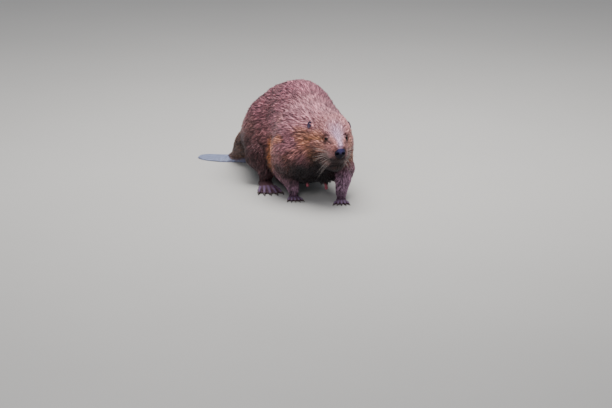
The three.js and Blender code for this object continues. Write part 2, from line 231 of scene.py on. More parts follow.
@dataclass(frozen=True)
class Bone(Form):
    """A tapered rod with round ends, which may be flattened along Z."""

    start: Triple
    end: Triple
    start_radius: float
    end_radius: float
    flat: float = 1.0

    def distance(self, p: Points) -> np.ndarray:
        """Distance of points from the rod."""
        t, q = beside(p, self.start, self.end)
        q[..., 2] /= self.flat
        radius = self.start_radius + t * (self.end_radius - self.start_radius)
        return (np.sqrt((q * q).sum(-1)) - radius) * min(1.0, 1.2 * self.flat)

    def reach(self) -> tuple[np.ndarray, np.ndarray]:
        """The rod's box."""
        a, b = np.array(self.start), np.array(self.end)
        big = max(self.start_radius, self.end_radius)
        return np.minimum(a, b) - big, np.maximum(a, b) + big


@dataclass(frozen=True)
class Paddle(Form):
    """The broad flat blade of the tail, lying on the floor."""

    stand: Stand
    length: float
    half_width: float
    root_width: float
    thickness: float
    edge: float

    def width(self, t: np.ndarray) -> np.ndarray:
        """Half width at a share of the length."""
        t = np.clip(t, 0, 1)
        widening = self.root_width + (1 - self.root_width) * smooth(0, 0.45, t)
        rounding = np.sqrt(np.maximum(0, 1 - np.clip((t - 0.55) / 0.45, 0, 1) ** 3.4))
        return self.half_width * widening * rounding

    def height(self, t: np.ndarray, across: np.ndarray) -> np.ndarray:
        """Height of the top at a share of the length and of the half width."""
        crown = self.edge + (self.thickness - self.edge) * (1 - np.clip(t, 0, 1)) ** 1.25
        rim = self.edge * 0.85
        return (rim + (crown - rim) * (1 - across ** 2)) * np.maximum(0, 1 - across ** 10) ** 0.5

    def distance(self, p: Points) -> np.ndarray:
        """Distance of points from the blade."""
        q = self.stand.local(p)
        t = q[..., 0] / self.length
        w = np.maximum(self.width(t), 0.5)
        side = np.abs(q[..., 1])
        over = q[..., 2] - self.height(t, np.clip(side / w, 0, 1))
        beyond = np.maximum(np.maximum(q[..., 0] - self.length, -18 - q[..., 0]), 0)
        out = np.hypot(np.maximum(side - w, 0), beyond)
        return np.where(out > 0, np.hypot(out, np.maximum(over, 0)), over * 0.9).astype(np.float32)

    def reach(self) -> tuple[np.ndarray, np.ndarray]:
        """The blade's box."""
        ends = np.array([self.stand.place(-20, 0, 0), self.stand.place(self.length, 0, 0)])
        wide = self.half_width
        return ends.min(0) - [wide, wide, 0], ends.max(0) + [wide, wide, self.thickness]


@dataclass(frozen=True)
class Fold:
    """A crease pressed into the skin along a line, or a ridge where its depth is negative."""

    start: Triple
    end: Triple
    width: float
    depth: float

    def press(self, p: Points) -> np.ndarray:
        """How far the skin gives way at each point."""
        _, q = beside(p, self.start, self.end)
        return self.depth * np.exp(-(q * q).sum(-1) / self.width ** 2)

    def reach(self) -> tuple[np.ndarray, np.ndarray]:
        """The fold's box."""
        ends = np.array([self.start, self.end])
        return ends.min(0) - 2.2 * self.width, ends.max(0) + 2.2 * self.width


FAR = 60.0  # the field's value away from every form
PULL = 18.0  # how far past its blend a form is worked out
SOFT_BROAD, SOFT_SMALL, SOFT_USUAL = 18.0, 2.4, 7.0  # how softly regions pass into one another


@dataclass
class Flesh:
    """All forms of the body, folded into one field."""

    forms: list[Form] = field(default_factory=list)
    folds: list[Fold] = field(default_factory=list)
    openings: list[Egg] = field(default_factory=list)

    @staticmethod
    def _near(p: Points, reach: tuple[np.ndarray, np.ndarray], grow: float) -> np.ndarray:
        """Which points lie within a box grown on every side."""
        low, high = reach
        return np.nonzero(((p > low - grow) & (p < high + grow)).all(-1))[0]

    def distance(self, p: Points, coated: bool = False) -> np.ndarray:
        """Distance of points from the bare skin, or from the coat's outside.

        Args:
            p: Points, one a row.
            coated: Whether the outside of the coat is meant.

        Returns:
            Distances, negative within.
        """
        p = p.astype(np.float32)
        d = np.full(len(p), FAR, np.float32)
        for form in self.forms:
            near = self._near(p, form.reach(), form.blend + PULL)
            if not len(near):
                continue
            d[near] = melt(d[near], form.distance(p[near]) + (0 if coated else form.coat), form.blend)
        for fold in self.folds:
            near = self._near(p, fold.reach(), 0)
            d[near] += fold.press(p[near])
        if not coated:
            for opening in self.openings:
                near = self._near(p, opening.reach(), 6)
                d[near] = np.maximum(d[near], -opening.distance(p[near]))
        return np.maximum(d, -p[:, 2])

    def weights(self, p: Points) -> np.ndarray:
        """How much each region has of each point.

        Args:
            p: Points on the skin.

        Returns:
            One row a point, one column a region, each row adding up to 1.
        """
        best = np.full((len(p), len(Region)), 90.0, np.float32)
        for form in self.forms:
            near = self._near(p, form.reach(), FAR)
            found = form.distance(p[near].astype(np.float32)) + form.coat
            best[near, form.region] = np.minimum(best[near, form.region], found)
        soft = [SOFT_BROAD if r in BROAD else SOFT_SMALL if r in SMALL else SOFT_USUAL for r in Region]
        share = np.exp(-(best - best.min(1, keepdims=True)) / soft)
        return share / share.sum(1, keepdims=True)

    def emerge(self, start: Triple, toward: Triple, coated: bool = True) -> tuple[np.ndarray, np.ndarray]:
        """Where a line from inside the body comes out.

        Args:
            start: A point inside.
            toward: A point the line passes.
            coated: Whether it comes out of the coat or the bare skin.

        Returns:
            The point and the line's direction.
        """
        aim = unit(np.array(toward, float) - np.array(start, float))
        line = np.array(start) + np.arange(0, 150, 0.25)[:, None] * aim
        out = np.nonzero(self.distance(line, coated) >= 0)[0]
        return line[out[0]], aim

    def uphill(self, p: Points, coated: bool = False, step: float = 0.8) -> np.ndarray:
        """The field's outward direction at points."""
        rows = [self.distance(p + step * e, coated) - self.distance(p - step * e, coated) for e in np.eye(3)]
        return unit(np.stack(rows, -1))


# ---------- anatomy ----------
@dataclass(frozen=True)
class Limb:
    """One leg's joints, where its heel meets the floor and which way the foot points."""

    joints: tuple[Triple, ...]
    heel: tuple[float, float]
    yaw: float

    @property
    def foot(self) -> Stand:
        """The foot's own frame, on the floor at the heel."""
        return Stand((self.heel[0], self.heel[1], 0.0), turn(self.yaw))


@dataclass(frozen=True)
class FootSizes:
    """Sizes of a foot with five clawed toes."""

    length: float
    ball: float
    base: float
    toe_radius: float
    spread: float
    claw_length: float
    claw_radius: float
    webbed: bool

    def toe(self, limb: Limb, side: Side, t: float) -> tuple[Stand, float]:
        """A toe's own frame at its root and its length.

        Args:
            limb: The leg the toe is on.
            side: The leg's side.
            t: The toe's place across the foot, from -1 to 1.

        Returns:
            The frame that points along the toe, and the toe's length.
        """
        root = limb.foot.place(self.length * (self.base - 0.08), t * self.ball * 0.8, 0)
        span = self.length * (1 - self.base) * (1 - 0.2 * t * t - 0.06 * t * side.value) + 0.08 * self.length
        return Stand(root, turn(limb.yaw + t * self.spread)), span


HEAD = Stand((51, -50, 242), turn(-4, 8))
NOSE_TIP = HEAD.place(84, 0, -22)
NOSE_LEFT = 3.0  # how far the nose's middle is left of the head's
HIND_FOOT = FootSizes(150, 33, 0.56, 7.4, 13, 17, 4.2, True)
FORE_FOOT = FootSizes(60, 21, 0.52, 5.2, 19, 14, 2.9, False)
HIND = {
    Side.RIGHT: Limb(((-74, 400, 160), (-96, 372, 130), (-118, 325, 98), (-99, 285, 42)), (-99, 290), -9),
    Side.LEFT: Limb(((118, 425, 160), (130, 400, 130), (148, 352, 98), (132, 392, 42)), (131, 412), 8),
}
FORE = {
    Side.RIGHT: Limb(((-70, 120, 150), (-72, 140, 92), (-57, 84, 34)), (-56, 86), -10),
    Side.LEFT: Limb(((108, 92, 166), (122, 56, 100), (90, -8, 34)), (90, -6), -16),
}
SHOULDERS = {Side.RIGHT: (48, 66, 80), Side.LEFT: (52, 70, 88)}
TAIL = Paddle(Region.BLADE, 0, 16, Stand((-83, 636, 0), turn(50 + 180)), 174, 45, 0.48, 25, 4.4)
TOES = (-1.0, -0.5, 0.0, 0.5, 1.0)


@dataclass(frozen=True)
class EyeSizes:
    """How the eyes sit in the head."""

    radius: float = 7.0
    forward: float = 26.0
    side: float = 36.7
    up: float = 6.0
    bulge: float = 2.6
    half_open: float = 4.9
    half_long: float = 7.2


@dataclass(frozen=True)
class EarSizes:
    """How the ears sit on the head."""

    forward: float = -58.0
    side: float = 62.0
    up: float = 17.0
    half_width: float = 8.0
    half_depth: float = 7.0
    half_height: float = 13.5
    proud: dict[Side, float] = field(default_factory=lambda: {Side.RIGHT: 2.6, Side.LEFT: -3.0})


@dataclass
class Anatomy:
    """Puts the animal's forms together."""

    eye: EyeSizes = field(default_factory=EyeSizes)
    ear: EarSizes = field(default_factory=EarSizes)
    flesh: Flesh = field(default_factory=Flesh)

    def build(self) -> Flesh:
        """Adds every form, in the order in which they melt together.

        Returns:
            The finished flesh.
        """
        self._trunk()
        self._hind_legs()
        self._head()
        self._fore_legs()
        self._tail()
        for side in Side:
            self._foot(HIND[side], HIND_FOOT, side)
            self._foot(FORE[side], FORE_FOOT, side)
        self._teats()
        for side in Side:
            self._lids(side)
        return self.flesh

    def _egg(self, region: Region, coat: float, at: Triple, radii: Triple,
             rotation: np.ndarray | None = None, blend: float = 40) -> None:
        """Adds an egg."""
        self.flesh.forms.append(Egg(region, coat, blend, at, radii, turn() if rotation is None else rotation))

    def _bone(self, region: Region, coat: float, start: Triple, end: Triple,
              radii: tuple[float, float], blend: float = 25, flat: float = 1) -> None:
        """Adds a bone."""
        self.flesh.forms.append(Bone(region, coat, blend, start, end, radii[0], radii[1], flat))

    def _trunk(self) -> None:
        """Chest, back, hump, loins, rump and the low belly."""
        for at, radii, yaw, blend in (
            ((10, 100, 168), (112, 115, 102), 0, 40),
            ((28, 210, 195), (120, 140, 131), 0, 70),
            ((38, 300, 216), (114, 150, 153), 0, 70),
            ((24, 415, 189), (139, 120, 136), 8, 70),
            ((84, 150, 212), (62, 92, 78), 0, 50),
            ((-8, 497, 130), (112, 94, 98), 20, 60),
            ((15, 240, 107), (112, 175, 80), 0, 60),
            ((-45, 205, 92), (52, 92, 74), 0, 40),
        ):
            self._egg(Region.TRUNK, 12, at, radii, turn(yaw), blend)

    def _hind_legs(self) -> None:
        """Haunches and shanks."""
        for side in (Side.RIGHT, Side.LEFT):
            hip, stifle, knee, ankle = HIND[side].joints
            self._egg(Region.HAUNCH, 12, hip, (64, 98, 112), turn(0, -18))
            self._bone(Region.SHANK, 9, stifle, knee, (54, 41), 35)
            self._bone(Region.SHANK, 6, knee, ankle, (39, 23))

    def _head(self) -> None:
        """Neck, skull, cheeks, muzzle, lips, chin and the flesh behind the nose pad."""
        place, tilt = HEAD.place, HEAD.rotation
        self._bone(Region.NECK, 13, (20, 120, 206), place(-65, 0, -10), (112, 73), 60)
        self._egg(Region.SKULL, 6, place(-48, 0, -8), (57, 72, 54), tilt)
        for side in (-1, 1):
            self._egg(Region.CHEEK, 7, place(-22, side * 29, -42), (34, 60, 48), tilt, 30)
        self._egg(Region.MUZZLE, 4, place(30, 0, -34), (33, 52, 42), tilt, 26)
        self._bone(Region.SKULL, 3.5, place(10, 0, -8), place(58, 0, -15), (33, 25), 22)
        for side in (-1, 1):
            self._egg(Region.LIP, 3, place(54, side * 15, -44), (18, 23, 22), tilt, 14)
        self._egg(Region.CHIN, 4, place(38, 0, -84), (23, 29, 22), tilt, 18)
        self._egg(Region.CHIN, 8, place(-8, 0, -84), (46, 54, 40), tilt, 30)
        self._egg(Region.NOSE, 2.5, place(70, 3, -29), (17, 15, 17), tilt, 8)
        folds = self.flesh.folds
        for side in (-1, 1):
            folds.append(Fold(place(46, side * 31, 2), place(72, side * 17, -12), 4.5, 1.6))
            folds.append(Fold(place(68, side * 2, -76), place(52, side * 21, -84), 4.2, 6.5))
            folds.append(Fold(place(-66, side * 64, 0), place(-44, side * 60, -74), 14, 3.0))
            folds.append(Fold(place(30, side * 40, 14), place(14, side * 46, 14), 4.5, -1.6))
        folds.append(Fold(place(86, 2, -46), place(70, 0, -76), 2.6, 2.4))
        for side in (-1, 1):
            self.flesh.openings.append(self.nostril(side, 1.5))

    @staticmethod
    def nostril(side: int, grow: float = 0) -> Egg:
        """The hollow of one nostril."""
        radii = (7.5 + grow, 13 + grow, 5.2 + grow)
        at = HEAD.place(87, NOSE_LEFT + side * 12.5, -27)
        return Egg(Region.NOSE, 0, 0, at, radii, HEAD.rotation @ turn(side * 30, 0, side * 24))

    def _fore_legs(self) -> None:
        """Shoulders and forearms."""
        for side in (Side.RIGHT, Side.LEFT):
            shoulder, elbow, wrist = FORE[side].joints
            self._egg(Region.SHOULDER, 11, shoulder, SHOULDERS[side])
            self._bone(Region.FOREARM, 5.5, elbow, wrist, (38, 20))

    def _tail(self) -> None:
        """The furred root of the tail and its bare blade."""
        self._bone(Region.TAIL_ROOT, 11, (-24, 520, 140), (-72, 596, 78), (92, 49), 40)
        self._bone(Region.TAIL_ROOT, 6, (-72, 596, 78), (-104, 654, 18), (49, 24), 30, 0.75)
        self.flesh.forms.append(TAIL)

    def _foot(self, limb: Limb, sizes: FootSizes, side: Side) -> None:
        """A foot: heel, ball, toes with knuckles, and webs behind.

        Args:
            limb: The leg.
            sizes: The foot's sizes.
            side: The leg's side.
        """
        r, ball, long, bare = sizes.toe_radius, sizes.ball, sizes.length, Region.FOOT
        foot, aim = limb.foot, limb.foot.rotation
        shin = Region.SHANK if sizes.webbed else Region.FOREARM
        self._bone(shin, 2.5, limb.joints[-1], foot.place(0, 0, r * 1.9), (ball * 0.68, ball * 0.6), 14)
        self._egg(bare, 0, foot.place(long * 0.06, 0, r), (ball * 0.7, long * 0.2, r * 1.5), aim, 8)
        sole = foot.place(long * 0.1, 0, r * 0.9), foot.place(long * (sizes.base - 0.06), 0, r * 0.7)
        self._bone(bare, 0, *sole, (ball * 0.72, ball * 0.9), 8, 0.30)
        for t in TOES:
            toe, span = sizes.toe(limb, side, t)
            half = span * 0.5
            self._bone(bare, 0, toe.place(-6, 0, r * 0.95), toe.place(half, 0, r * 0.9), (r * 0.92, r * 0.84), 4)
            self._egg(bare, 0, toe.place(half, 0, r * 1.0), (r * 0.95, r * 1.2, r * 0.86), toe.rotation, 3)
            last = toe.place(half, 0, r * 0.85), toe.place(span - r * 0.7, 0, r * 0.62)
            self._bone(bare, 0, *last, (r * 0.8, r * 0.62), 3)
            self._egg(bare, 0, toe.place(span - r * 1.1, 0, r * 0.62), (r * 0.78, r * 1.0, r * 0.62), toe.rotation, 2)
        if sizes.webbed:
            for a, b in zip(TOES, TOES[1:]):
                (one, span_a), (two, span_b) = sizes.toe(limb, side, a), sizes.toe(limb, side, b)
                near = np.mean([one.place(0, 0, 3.4), two.place(0, 0, 3.4)], 0)
                far = np.mean([one.place(span_a - 27, 0, 2.8), two.place(span_b - 27, 0, 2.8)], 0)
                self._bone(bare, 0, tuple(near), tuple(far), (8, 12.5), 3.2, 0.2)

    def _teats(self) -> None:
        """Two teats of a nursing female, low between the fore legs."""
        pair = (((-14, 66, 80), (-13, 59, 49), (26, 30, 25)), ((49, 54, 74), (51, 43, 38), (28, 32, 28)))
        for at, tip, swell in pair:
            self._egg(Region.TRUNK, 7, (at[0], at[1] + 4, at[2] + 8), swell, None, 26)
            self._bone(Region.TEAT, 0, at, tip, (7.5, 5), 5)
            self._egg(Region.TEAT, 0, tip, (5.8, 5.8, 6.8), None, 3)

    def _lids(self, side: Side) -> None:
        """A ring of lid round one eye, with its almond opening, and the hollow of one ear."""
        eye, ear, openings = self.eye, self.ear, self.flesh.openings
        centre, aim = self.eye_seat(side)
        across = unit(np.cross((0, 0, 1), aim))
        pose = np.stack([across, aim, np.cross(aim, across)], 1)
        r = eye.radius
        self._egg(Region.LID, 0.4, tuple(centre - 0.9 * aim), (r + 3.6, r + 1.9, r + 2.2), pose, 7)
        openings.append(Egg(Region.LID, 0, 0, tuple(centre + aim * r), (eye.half_long, 9, eye.half_open), pose))
        cup, lean = self.ear_seat(side)
        hollow = (ear.half_width - 2.5, 7, ear.half_height - 3)
        openings.append(Egg(Region.LID, 0, 0, tuple(cup - 2 * lean[:, 1]), hollow, lean))

    def eye_seat(self, side: Side) -> tuple[np.ndarray, np.ndarray]:
        """An eyeball's centre and the way it looks."""
        e = self.eye
        toward = HEAD.place(e.forward, side.value * e.side, e.up)
        at, aim = self.head_flesh().emerge(HEAD.place(0, 0, -12), toward)
        return at + aim * (e.bulge - e.radius), aim

    def ear_seat(self, side: Side) -> tuple[np.ndarray, np.ndarray]:
        """An ear's centre and the turn of its cup."""
        e = self.ear
        toward = HEAD.place(e.forward, side.value * e.side, e.up)
        at, aim = self.head_flesh().emerge(HEAD.place(-40, 0, -30), toward)
        return at + aim * e.proud[side], HEAD.rotation @ turn(side.value * 56, -34, side.value * 14)

    def head_flesh(self) -> Flesh:
        """The flesh without lids, folds or openings, which the solids were set by."""
        return Flesh([f for f in self.flesh.forms if f.region is not Region.LID])


# ---------- pelt ----------
@dataclass(frozen=True)
class Pelt:
    """The coat of one region.

    That is its locks' length and width, how steeply they rise in degrees, the patch of skin that each one has
    and how far they gather into points, with the colours of root and tip.
    """

    length: float
    width: float
    lift: float
    patch: float
    gather: float
    root: Colour
    tip: Colour


PELTS = {
    Region.TRUNK: Pelt(30, 3.7, 16, 8.0, 0.4, srgb(50, 28, 27), srgb(180, 118, 128)),
    Region.HAUNCH: Pelt(26, 3.5, 16, 7.6, 0.4, srgb(34, 20, 17), srgb(160, 112, 108)),
    Region.SHANK: Pelt(15, 2.6, 14, 5.0, 0.35, srgb(26, 16, 16), srgb(96, 68, 72)),
    Region.NECK: Pelt(36, 3.9, 20, 7.2, 0.65, srgb(46, 26, 20), srgb(226, 160, 172)),
    Region.SKULL: Pelt(14, 2.3, 15, 4.0, 0.35, srgb(104, 62, 54), srgb(228, 150, 146)),
    Region.CHEEK: Pelt(22, 2.8, 18, 4.6, 0.55, srgb(66, 37, 26), srgb(242, 172, 146)),
    Region.MUZZLE: Pelt(9, 1.7, 15, 2.5, 0.3, srgb(92, 58, 50), srgb(226, 164, 154)),
    Region.LIP: Pelt(6, 1.4, 15, 2.0, 0.25, srgb(100, 74, 76), srgb(226, 184, 190)),
    Region.CHIN: Pelt(14, 2.1, 20, 3.4, 0.5, srgb(16, 9, 4), srgb(58, 36, 18)),
    Region.NOSE: Pelt(4, 1.1, 12, 2.4, 0.0, srgb(84, 60, 62), srgb(208, 160, 162)),
    Region.SHOULDER: Pelt(27, 3.4, 17, 7.0, 0.5, srgb(44, 26, 24), srgb(196, 138, 138)),
    Region.FOREARM: Pelt(13, 2.3, 14, 4.4, 0.45, srgb(34, 24, 31), srgb(180, 142, 172)),
    Region.TAIL_ROOT: Pelt(22, 3.2, 15, 6.6, 0.45, srgb(40, 27, 20), srgb(190, 146, 122)),
    Region.FOOT: Pelt(4, 1.2, 12, 6.0, 0.1, srgb(48, 30, 36), srgb(74, 46, 54)),
    Region.BLADE: Pelt(4, 1.0, 10, 9.0, 0.0, srgb(86, 92, 114), srgb(162, 170, 202)),
    Region.TEAT: Pelt(3, 1.0, 10, 9.0, 0.0, srgb(196, 92, 106), srgb(240, 120, 140)),
    Region.LID: Pelt(3, 1.0, 10, 3.0, 0.0, srgb(14, 9, 12), srgb(26, 18, 22)),
}
BARE = (Region.FOOT, Region.BLADE, Region.TEAT, Region.LID, Region.NOSE)
FACE = (Region.SKULL, Region.MUZZLE, Region.LIP, Region.NOSE)
NOISE_SEED = 4711
LATTICE = 24


@dataclass
class Mottle:
    """Smooth random variation over space, from a tiled lattice of seeded values."""

    cell: float
    seed: int

    def __post_init__(self) -> None:
        """Fills the lattice."""
        self.lattice = np.random.default_rng(NOISE_SEED + self.seed).random((LATTICE,) * 3).astype(np.float32)

    def at(self, p: Points, stretch: Triple = (1, 1, 1)) -> np.ndarray:
        """Values from 0 to 1 at points.

        Args:
            p: Points in millimetres.
            stretch: How much longer the variation is along each axis.

        Returns:
            One value a point.
        """
        q = p / (self.cell * np.array(stretch))
        base = np.floor(q).astype(int)
        f = q - base
        f = f * f * (3 - 2 * f)
        total = np.zeros(len(p))
        for corner in np.ndindex(2, 2, 2):
            c = np.array(corner)
            share = np.where(c == 1, f, 1 - f).prod(1)
            total += share * self.lattice[tuple(((base + c) % LATTICE).T)]
        return total


@dataclass
class Streaks:
    """Locks of lighter and darker hair, drawn out along the lie of the coat."""

    def at(self, p: Points, share: np.ndarray) -> np.ndarray:
        """How light and proud the coat is at points, from 0 to 1.

        Args:
            p: Points in millimetres.
            share: Region weights.

        Returns:
            One value a point.
        """
        part = {r: share[:, r, None] for r in Region}
        away = p - np.array(NOSE_TIP)
        far = np.linalg.norm(away, axis=1, keepdims=True)
        warp = np.stack([Mottle(34, 30 + m).at(p) - 0.5 for m in range(3)], 1)
        face = unit(away) * (120 + 0.25 * far)
        body = p * [1, 0.24, 1] + p[:, 1:2] * [0, 0, 0.35]
        thigh = np.stack([p[:, 0], (p[:, 1] + p[:, 2]) * 0.7, (p[:, 1] - p[:, 2]) * 0.16], 1)
        limb = p * [1, 1, 0.24]
        rule = {Region.TRUNK: body, Region.TAIL_ROOT: body, Region.BLADE: body, Region.HAUNCH: thigh,
                Region.SHANK: limb, Region.FOREARM: limb, Region.FOOT: limb}
        total = np.zeros(len(p))
        for cell, weight, seed in ((5.5, 0.65, 11), (13.0, 0.35, 12)):
            noise = {id(q): Mottle(cell, seed).at(q + 9 * warp) for q in (face, body, thigh, limb)}
            total += weight * sum(part[r][:, 0] * noise[id(rule.get(r, face))] for r in Region)
        return smooth(0.22, 0.78, total)


@dataclass
class Paint:
    """Root and tip colours, over which others are laid."""

    root: np.ndarray
    tip: np.ndarray

    def lay(self, colour: Colour, tip: np.ndarray, root: np.ndarray | None = None) -> None:
        """Moves the tips, and the roots where they are given, towards a colour by a share of each."""
        self.tip = self._mixed(self.tip, colour, tip)
        if root is not None:
            self.root = self._mixed(self.root, colour, root)

    @staticmethod
    def _mixed(colours: np.ndarray, other: Colour, share: np.ndarray) -> np.ndarray:
        """Colours moved towards another by a share of each."""
        s = np.clip(share, 0, 1)[:, None]
        return colours * (1 - s) + np.array(other) * s


@dataclass
class Markings:
    """The colours of skin and coat alike, as a rule of place and region."""

    ochre: Colour = srgb(222, 146, 50)
    rust: Colour = srgb(214, 126, 48)
    # a painted highlight along the bridge of the nose
    pale: Colour = srgb(248, 212, 250)
    # painted shade laid over the underside and the upper left of the back
    dusk: Colour = srgb(13, 4, 2)
    # partly the coat's tint, partly a painted sheen on fur that faces up
    mauve: Colour = srgb(200, 126, 144)
    # near black, laid as painted shade in the slit of the mouth, along the muzzle's groove and inside the nostrils
    mouth: Colour = srgb(14, 6, 8)
    # a painted highlight on the tops of the toes
    toe: Colour = srgb(164, 140, 184)

    def colours(self, p: Points, normal: np.ndarray, share: np.ndarray) -> tuple[np.ndarray, np.ndarray]:
        """Root and tip colours of the coat at points on the skin.

        Args:
            p: Points in millimetres.
            normal: Outward directions.
            share: Region weights.

        Returns:
            Two arrays of linear colours.
        """
        paint = Paint(share @ np.array([PELTS[r].root for r in Region]), share @ np.array([PELTS[r].tip for r in Region]))
        part = {r: share[:, r] for r in Region}
        self._body(paint, p, normal, part)
        self._face(paint, HEAD.local(p))
        self._shade(paint, p, normal, part)
        # Painted highlight: toe ridges are laid paler where they face up; nail is how much the skin faces up.
        ridge, nail = self._toes(p), smooth(0.2, 0.7, normal[:, 2])
        paint.lay(self.toe, part[Region.FOOT] * ridge * nail * 0.8)
        # Painted shade: the skin inside the nostrils and under the nose pad is laid near black.
        inside = smooth(0.5, -1.5, NosePad.zone(p))
        paint.lay(self.mouth, inside, inside)
        lum = (0.84 + 0.32 * Mottle(22, 2).at(p))[:, None]
        return paint.root * lum, paint.tip * lum

    @staticmethod
    def _gold(p: Points, part: dict[Region, np.ndarray]) -> np.ndarray:
        """Share of golden hair, in patches on neck, cheeks and shoulders."""
        where = part[Region.NECK] + part[Region.CHEEK] + 0.5 * part[Region.SHOULDER]
        return where * smooth(0.42, 0.7, Mottle(34, 3).at(p, (1, 2.2, 0.8))) * smooth(290, 220, p[:, 2])

    @staticmethod
    def _band(p: Points) -> np.ndarray:
        """Share of the rusty band behind the right fore leg."""
        along = np.exp(-((p[:, 1] - 195) / 56) ** 2)
        return along * smooth(-45, -80, p[:, 0]) * smooth(55, 90, p[:, 2]) * smooth(210, 165, p[:, 2])

    def _body(self, paint: Paint, p: Points, normal: np.ndarray, part: dict[Region, np.ndarray]) -> None:
        """Lays mauve in patches over the back, strongest where the fur faces up as a painted sheen, gold over the neck
        and the rusty band.
        """
        back = part[Region.TRUNK] + part[Region.HAUNCH] + part[Region.SHOULDER]
        # Painted sheen: the mauve patches are strongest on fur that faces up.
        patches = smooth(0.3, 0.7, Mottle(70, 1).at(p)) * smooth(-0.1, 0.7, normal[:, 2])
        paint.lay(self.mauve, back * patches * 0.8)
        paint.lay(self.ochre, self._gold(p, part) * 0.9)
        paint.lay(self.rust, self._band(p) * (part[Region.TRUNK] + part[Region.SHOULDER] + part[Region.NECK]))

    def _face(self, paint: Paint, q: Points) -> None:
        """Lays a pale painted highlight along the bridge of the nose, the hair round the eyes and painted shade along
        the groove over the muzzle.

        Args:
            paint: The colours so far.
            q: Points as forward, left and up of the head.
        """
        forward, left, up = q.T
        # Painted highlight: a pale strip down the bridge of the nose and the forehead.
        half = np.interp(forward, [-60, 0, 30, 55, 72], [34, 27, 19, 11, 8])
        bridge = np.exp(-(np.abs(left - 3) / half) ** 3) * smooth(-40, 48, forward) * smooth(-22, -8, up)
        paint.lay(self.pale, bridge * 0.8, bridge * 0.25)
        near = sum(np.exp(-(np.linalg.norm(q - [22, side * 37, 4], axis=1) / 17) ** 2) for side in (-1, 1))
        paint.root = paint.root + (paint.tip * 0.7 - paint.root) * 0.75 * np.minimum(near, 1)[:, None]
        # Painted shade along the groove on each side of the muzzle.
        groove = np.exp(-((np.abs(left - 1) - np.interp(forward, [30, 68], [33, 17])) / 2.6) ** 2)
        groove = groove * smooth(26, 34, forward) * smooth(76, 62, forward) * smooth(-30, -16, up)
        paint.lay(self.mouth, groove * 0.75, groove * 0.75)

    def _shade(self, paint: Paint, p: Points, normal: np.ndarray, part: dict[Region, np.ndarray]) -> None:
        """Lays painted shade over the underside, the lower haunch and neck, the left of the back and the slit of the
        mouth.
        """
        back = part[Region.TRUNK] + part[Region.HAUNCH] + part[Region.SHOULDER]
        head = sum(part[r] for r in (Region.CHEEK, Region.SKULL, Region.MUZZLE, Region.LIP, Region.CHIN))
        lower = part[Region.TRUNK] + part[Region.HAUNCH] + part[Region.NECK]
        lower = lower + 0.55 * part[Region.SHOULDER] + 0.8 * head + 0.4 * part[Region.TAIL_ROOT]
        # Painted shade: low fur and fur facing down are darkened, more on the lower haunch and neck, less on the gold
        # and rusty hair.
        low = smooth(182, 82, p[:, 2]) * smooth(0.8, 0.25, normal[:, 2])
        under = np.maximum(smooth(0.15, -0.55, normal[:, 2]), low) * lower
        under += smooth(215, 120, p[:, 2]) * (part[Region.HAUNCH] + 0.5 * part[Region.NECK]) * 0.45
        under *= 1 - 0.55 * np.maximum(self._band(p), 0.5 * self._gold(p, part))
        under = 1 - (1 - 0.97 * np.clip(under, 0, 1)) ** 2
        paint.lay(self.dusk, under, under)
        # Painted shade on the upper left of the back and neck.
        paint.lay(self.dusk, smooth(30, 110, p[:, 0]) * smooth(200, 300, p[:, 2]) * (part[Region.NECK] + back) * 0.34)
        # Painted shade in the slit of the mouth.
        forward, left, up = HEAD.local(p).T
        off = np.abs(left + 3)
        slit = np.exp(-(np.maximum(0, off - 13) ** 2 + (up + 74 + 0.55 * off) ** 2) / 26) * smooth(40, 50, forward)
        paint.lay(self.mouth, slit * 0.95, slit * 0.95)

    @staticmethod
    def _toes(p: Points) -> np.ndarray:
        """How near points are to the ridge of a toe, from 0 to 1."""
        best = np.zeros(len(p))
        for limbs, sizes in ((HIND, HIND_FOOT), (FORE, FORE_FOOT)):
            for side in Side:
                for t in TOES:
                    toe, span = sizes.toe(limbs[side], side, t)
                    q = toe.local(p)
                    near = np.exp(-(q[:, 1] / (0.62 * sizes.toe_radius)) ** 2)
                    near *= smooth(-14, 4, q[:, 0]) * smooth(span + 6, span - 2, q[:, 0])
                    best = np.maximum(best, near * (q[:, 2] < 60))
        return best


@dataclass
class Lie:
    """Which way the coat lies over the body."""

    flesh: Flesh

    def flow(self, p: Points, normal: np.ndarray, share: np.ndarray) -> np.ndarray:
        """The lie of the coat at points, along the skin.

        Args:
            p: Points in millimetres.
            normal: Outward directions.
            share: Region weights.

        Returns:
            Unit vectors in the skin's own plane.
        """
        from_nose = unit(p - np.array(NOSE_TIP))
        side = np.sign(p[:, :1] - 25)
        wave = (Mottle(46, 5).at(p) - 0.5)[:, None]
        back = np.concatenate([0.10 * side, np.ones_like(side), -0.30 - 0.25 * (1 - normal[:, 2:3])], 1)
        nape = 0.75 * from_nose + np.array([0, 0.55, -0.25]) + wave * np.array([0, 0.1, 0.9])
        arm, tail = np.array([0.0, 0.20, -1.0]), unit(np.array([-0.55, 0.62, -0.40]))
        rule = {
            Region.TRUNK: back, Region.NECK: nape, Region.SHOULDER: 0.6 * back + 0.6 * arm,
            Region.HAUNCH: np.array([0.0, 0.75, -0.75]), Region.SHANK: np.array([0.0, 0.30, -1.0]), Region.FOREARM: arm,
            Region.TAIL_ROOT: tail, Region.BLADE: tail, Region.FOOT: unit(np.array([0.0, -1.0, -0.3])),
        }
        total = np.zeros_like(p)
        for region in Region:
            total += share[:, region, None] * rule.get(region, from_nose)
        total += 0.22 * np.stack([Mottle(30, seed).at(p) - 0.5 for seed in (6, 7, 8)], 1)
        return unit(total - normal * (total * normal).sum(1, keepdims=True))


# ---------- mesh making ----------
def to_frame(p: Points) -> Points:
    """Millimetres in the animal's stance as metres in the solids' frame."""
    return (p - MIDDLE) * 0.001


def link(name: str, data: bpy.types.ID) -> bpy.types.Object:
    """A new object in the scene."""
    made = bpy.data.objects.new(name, data)
    bpy.context.scene.collection.objects.link(made)
    return made


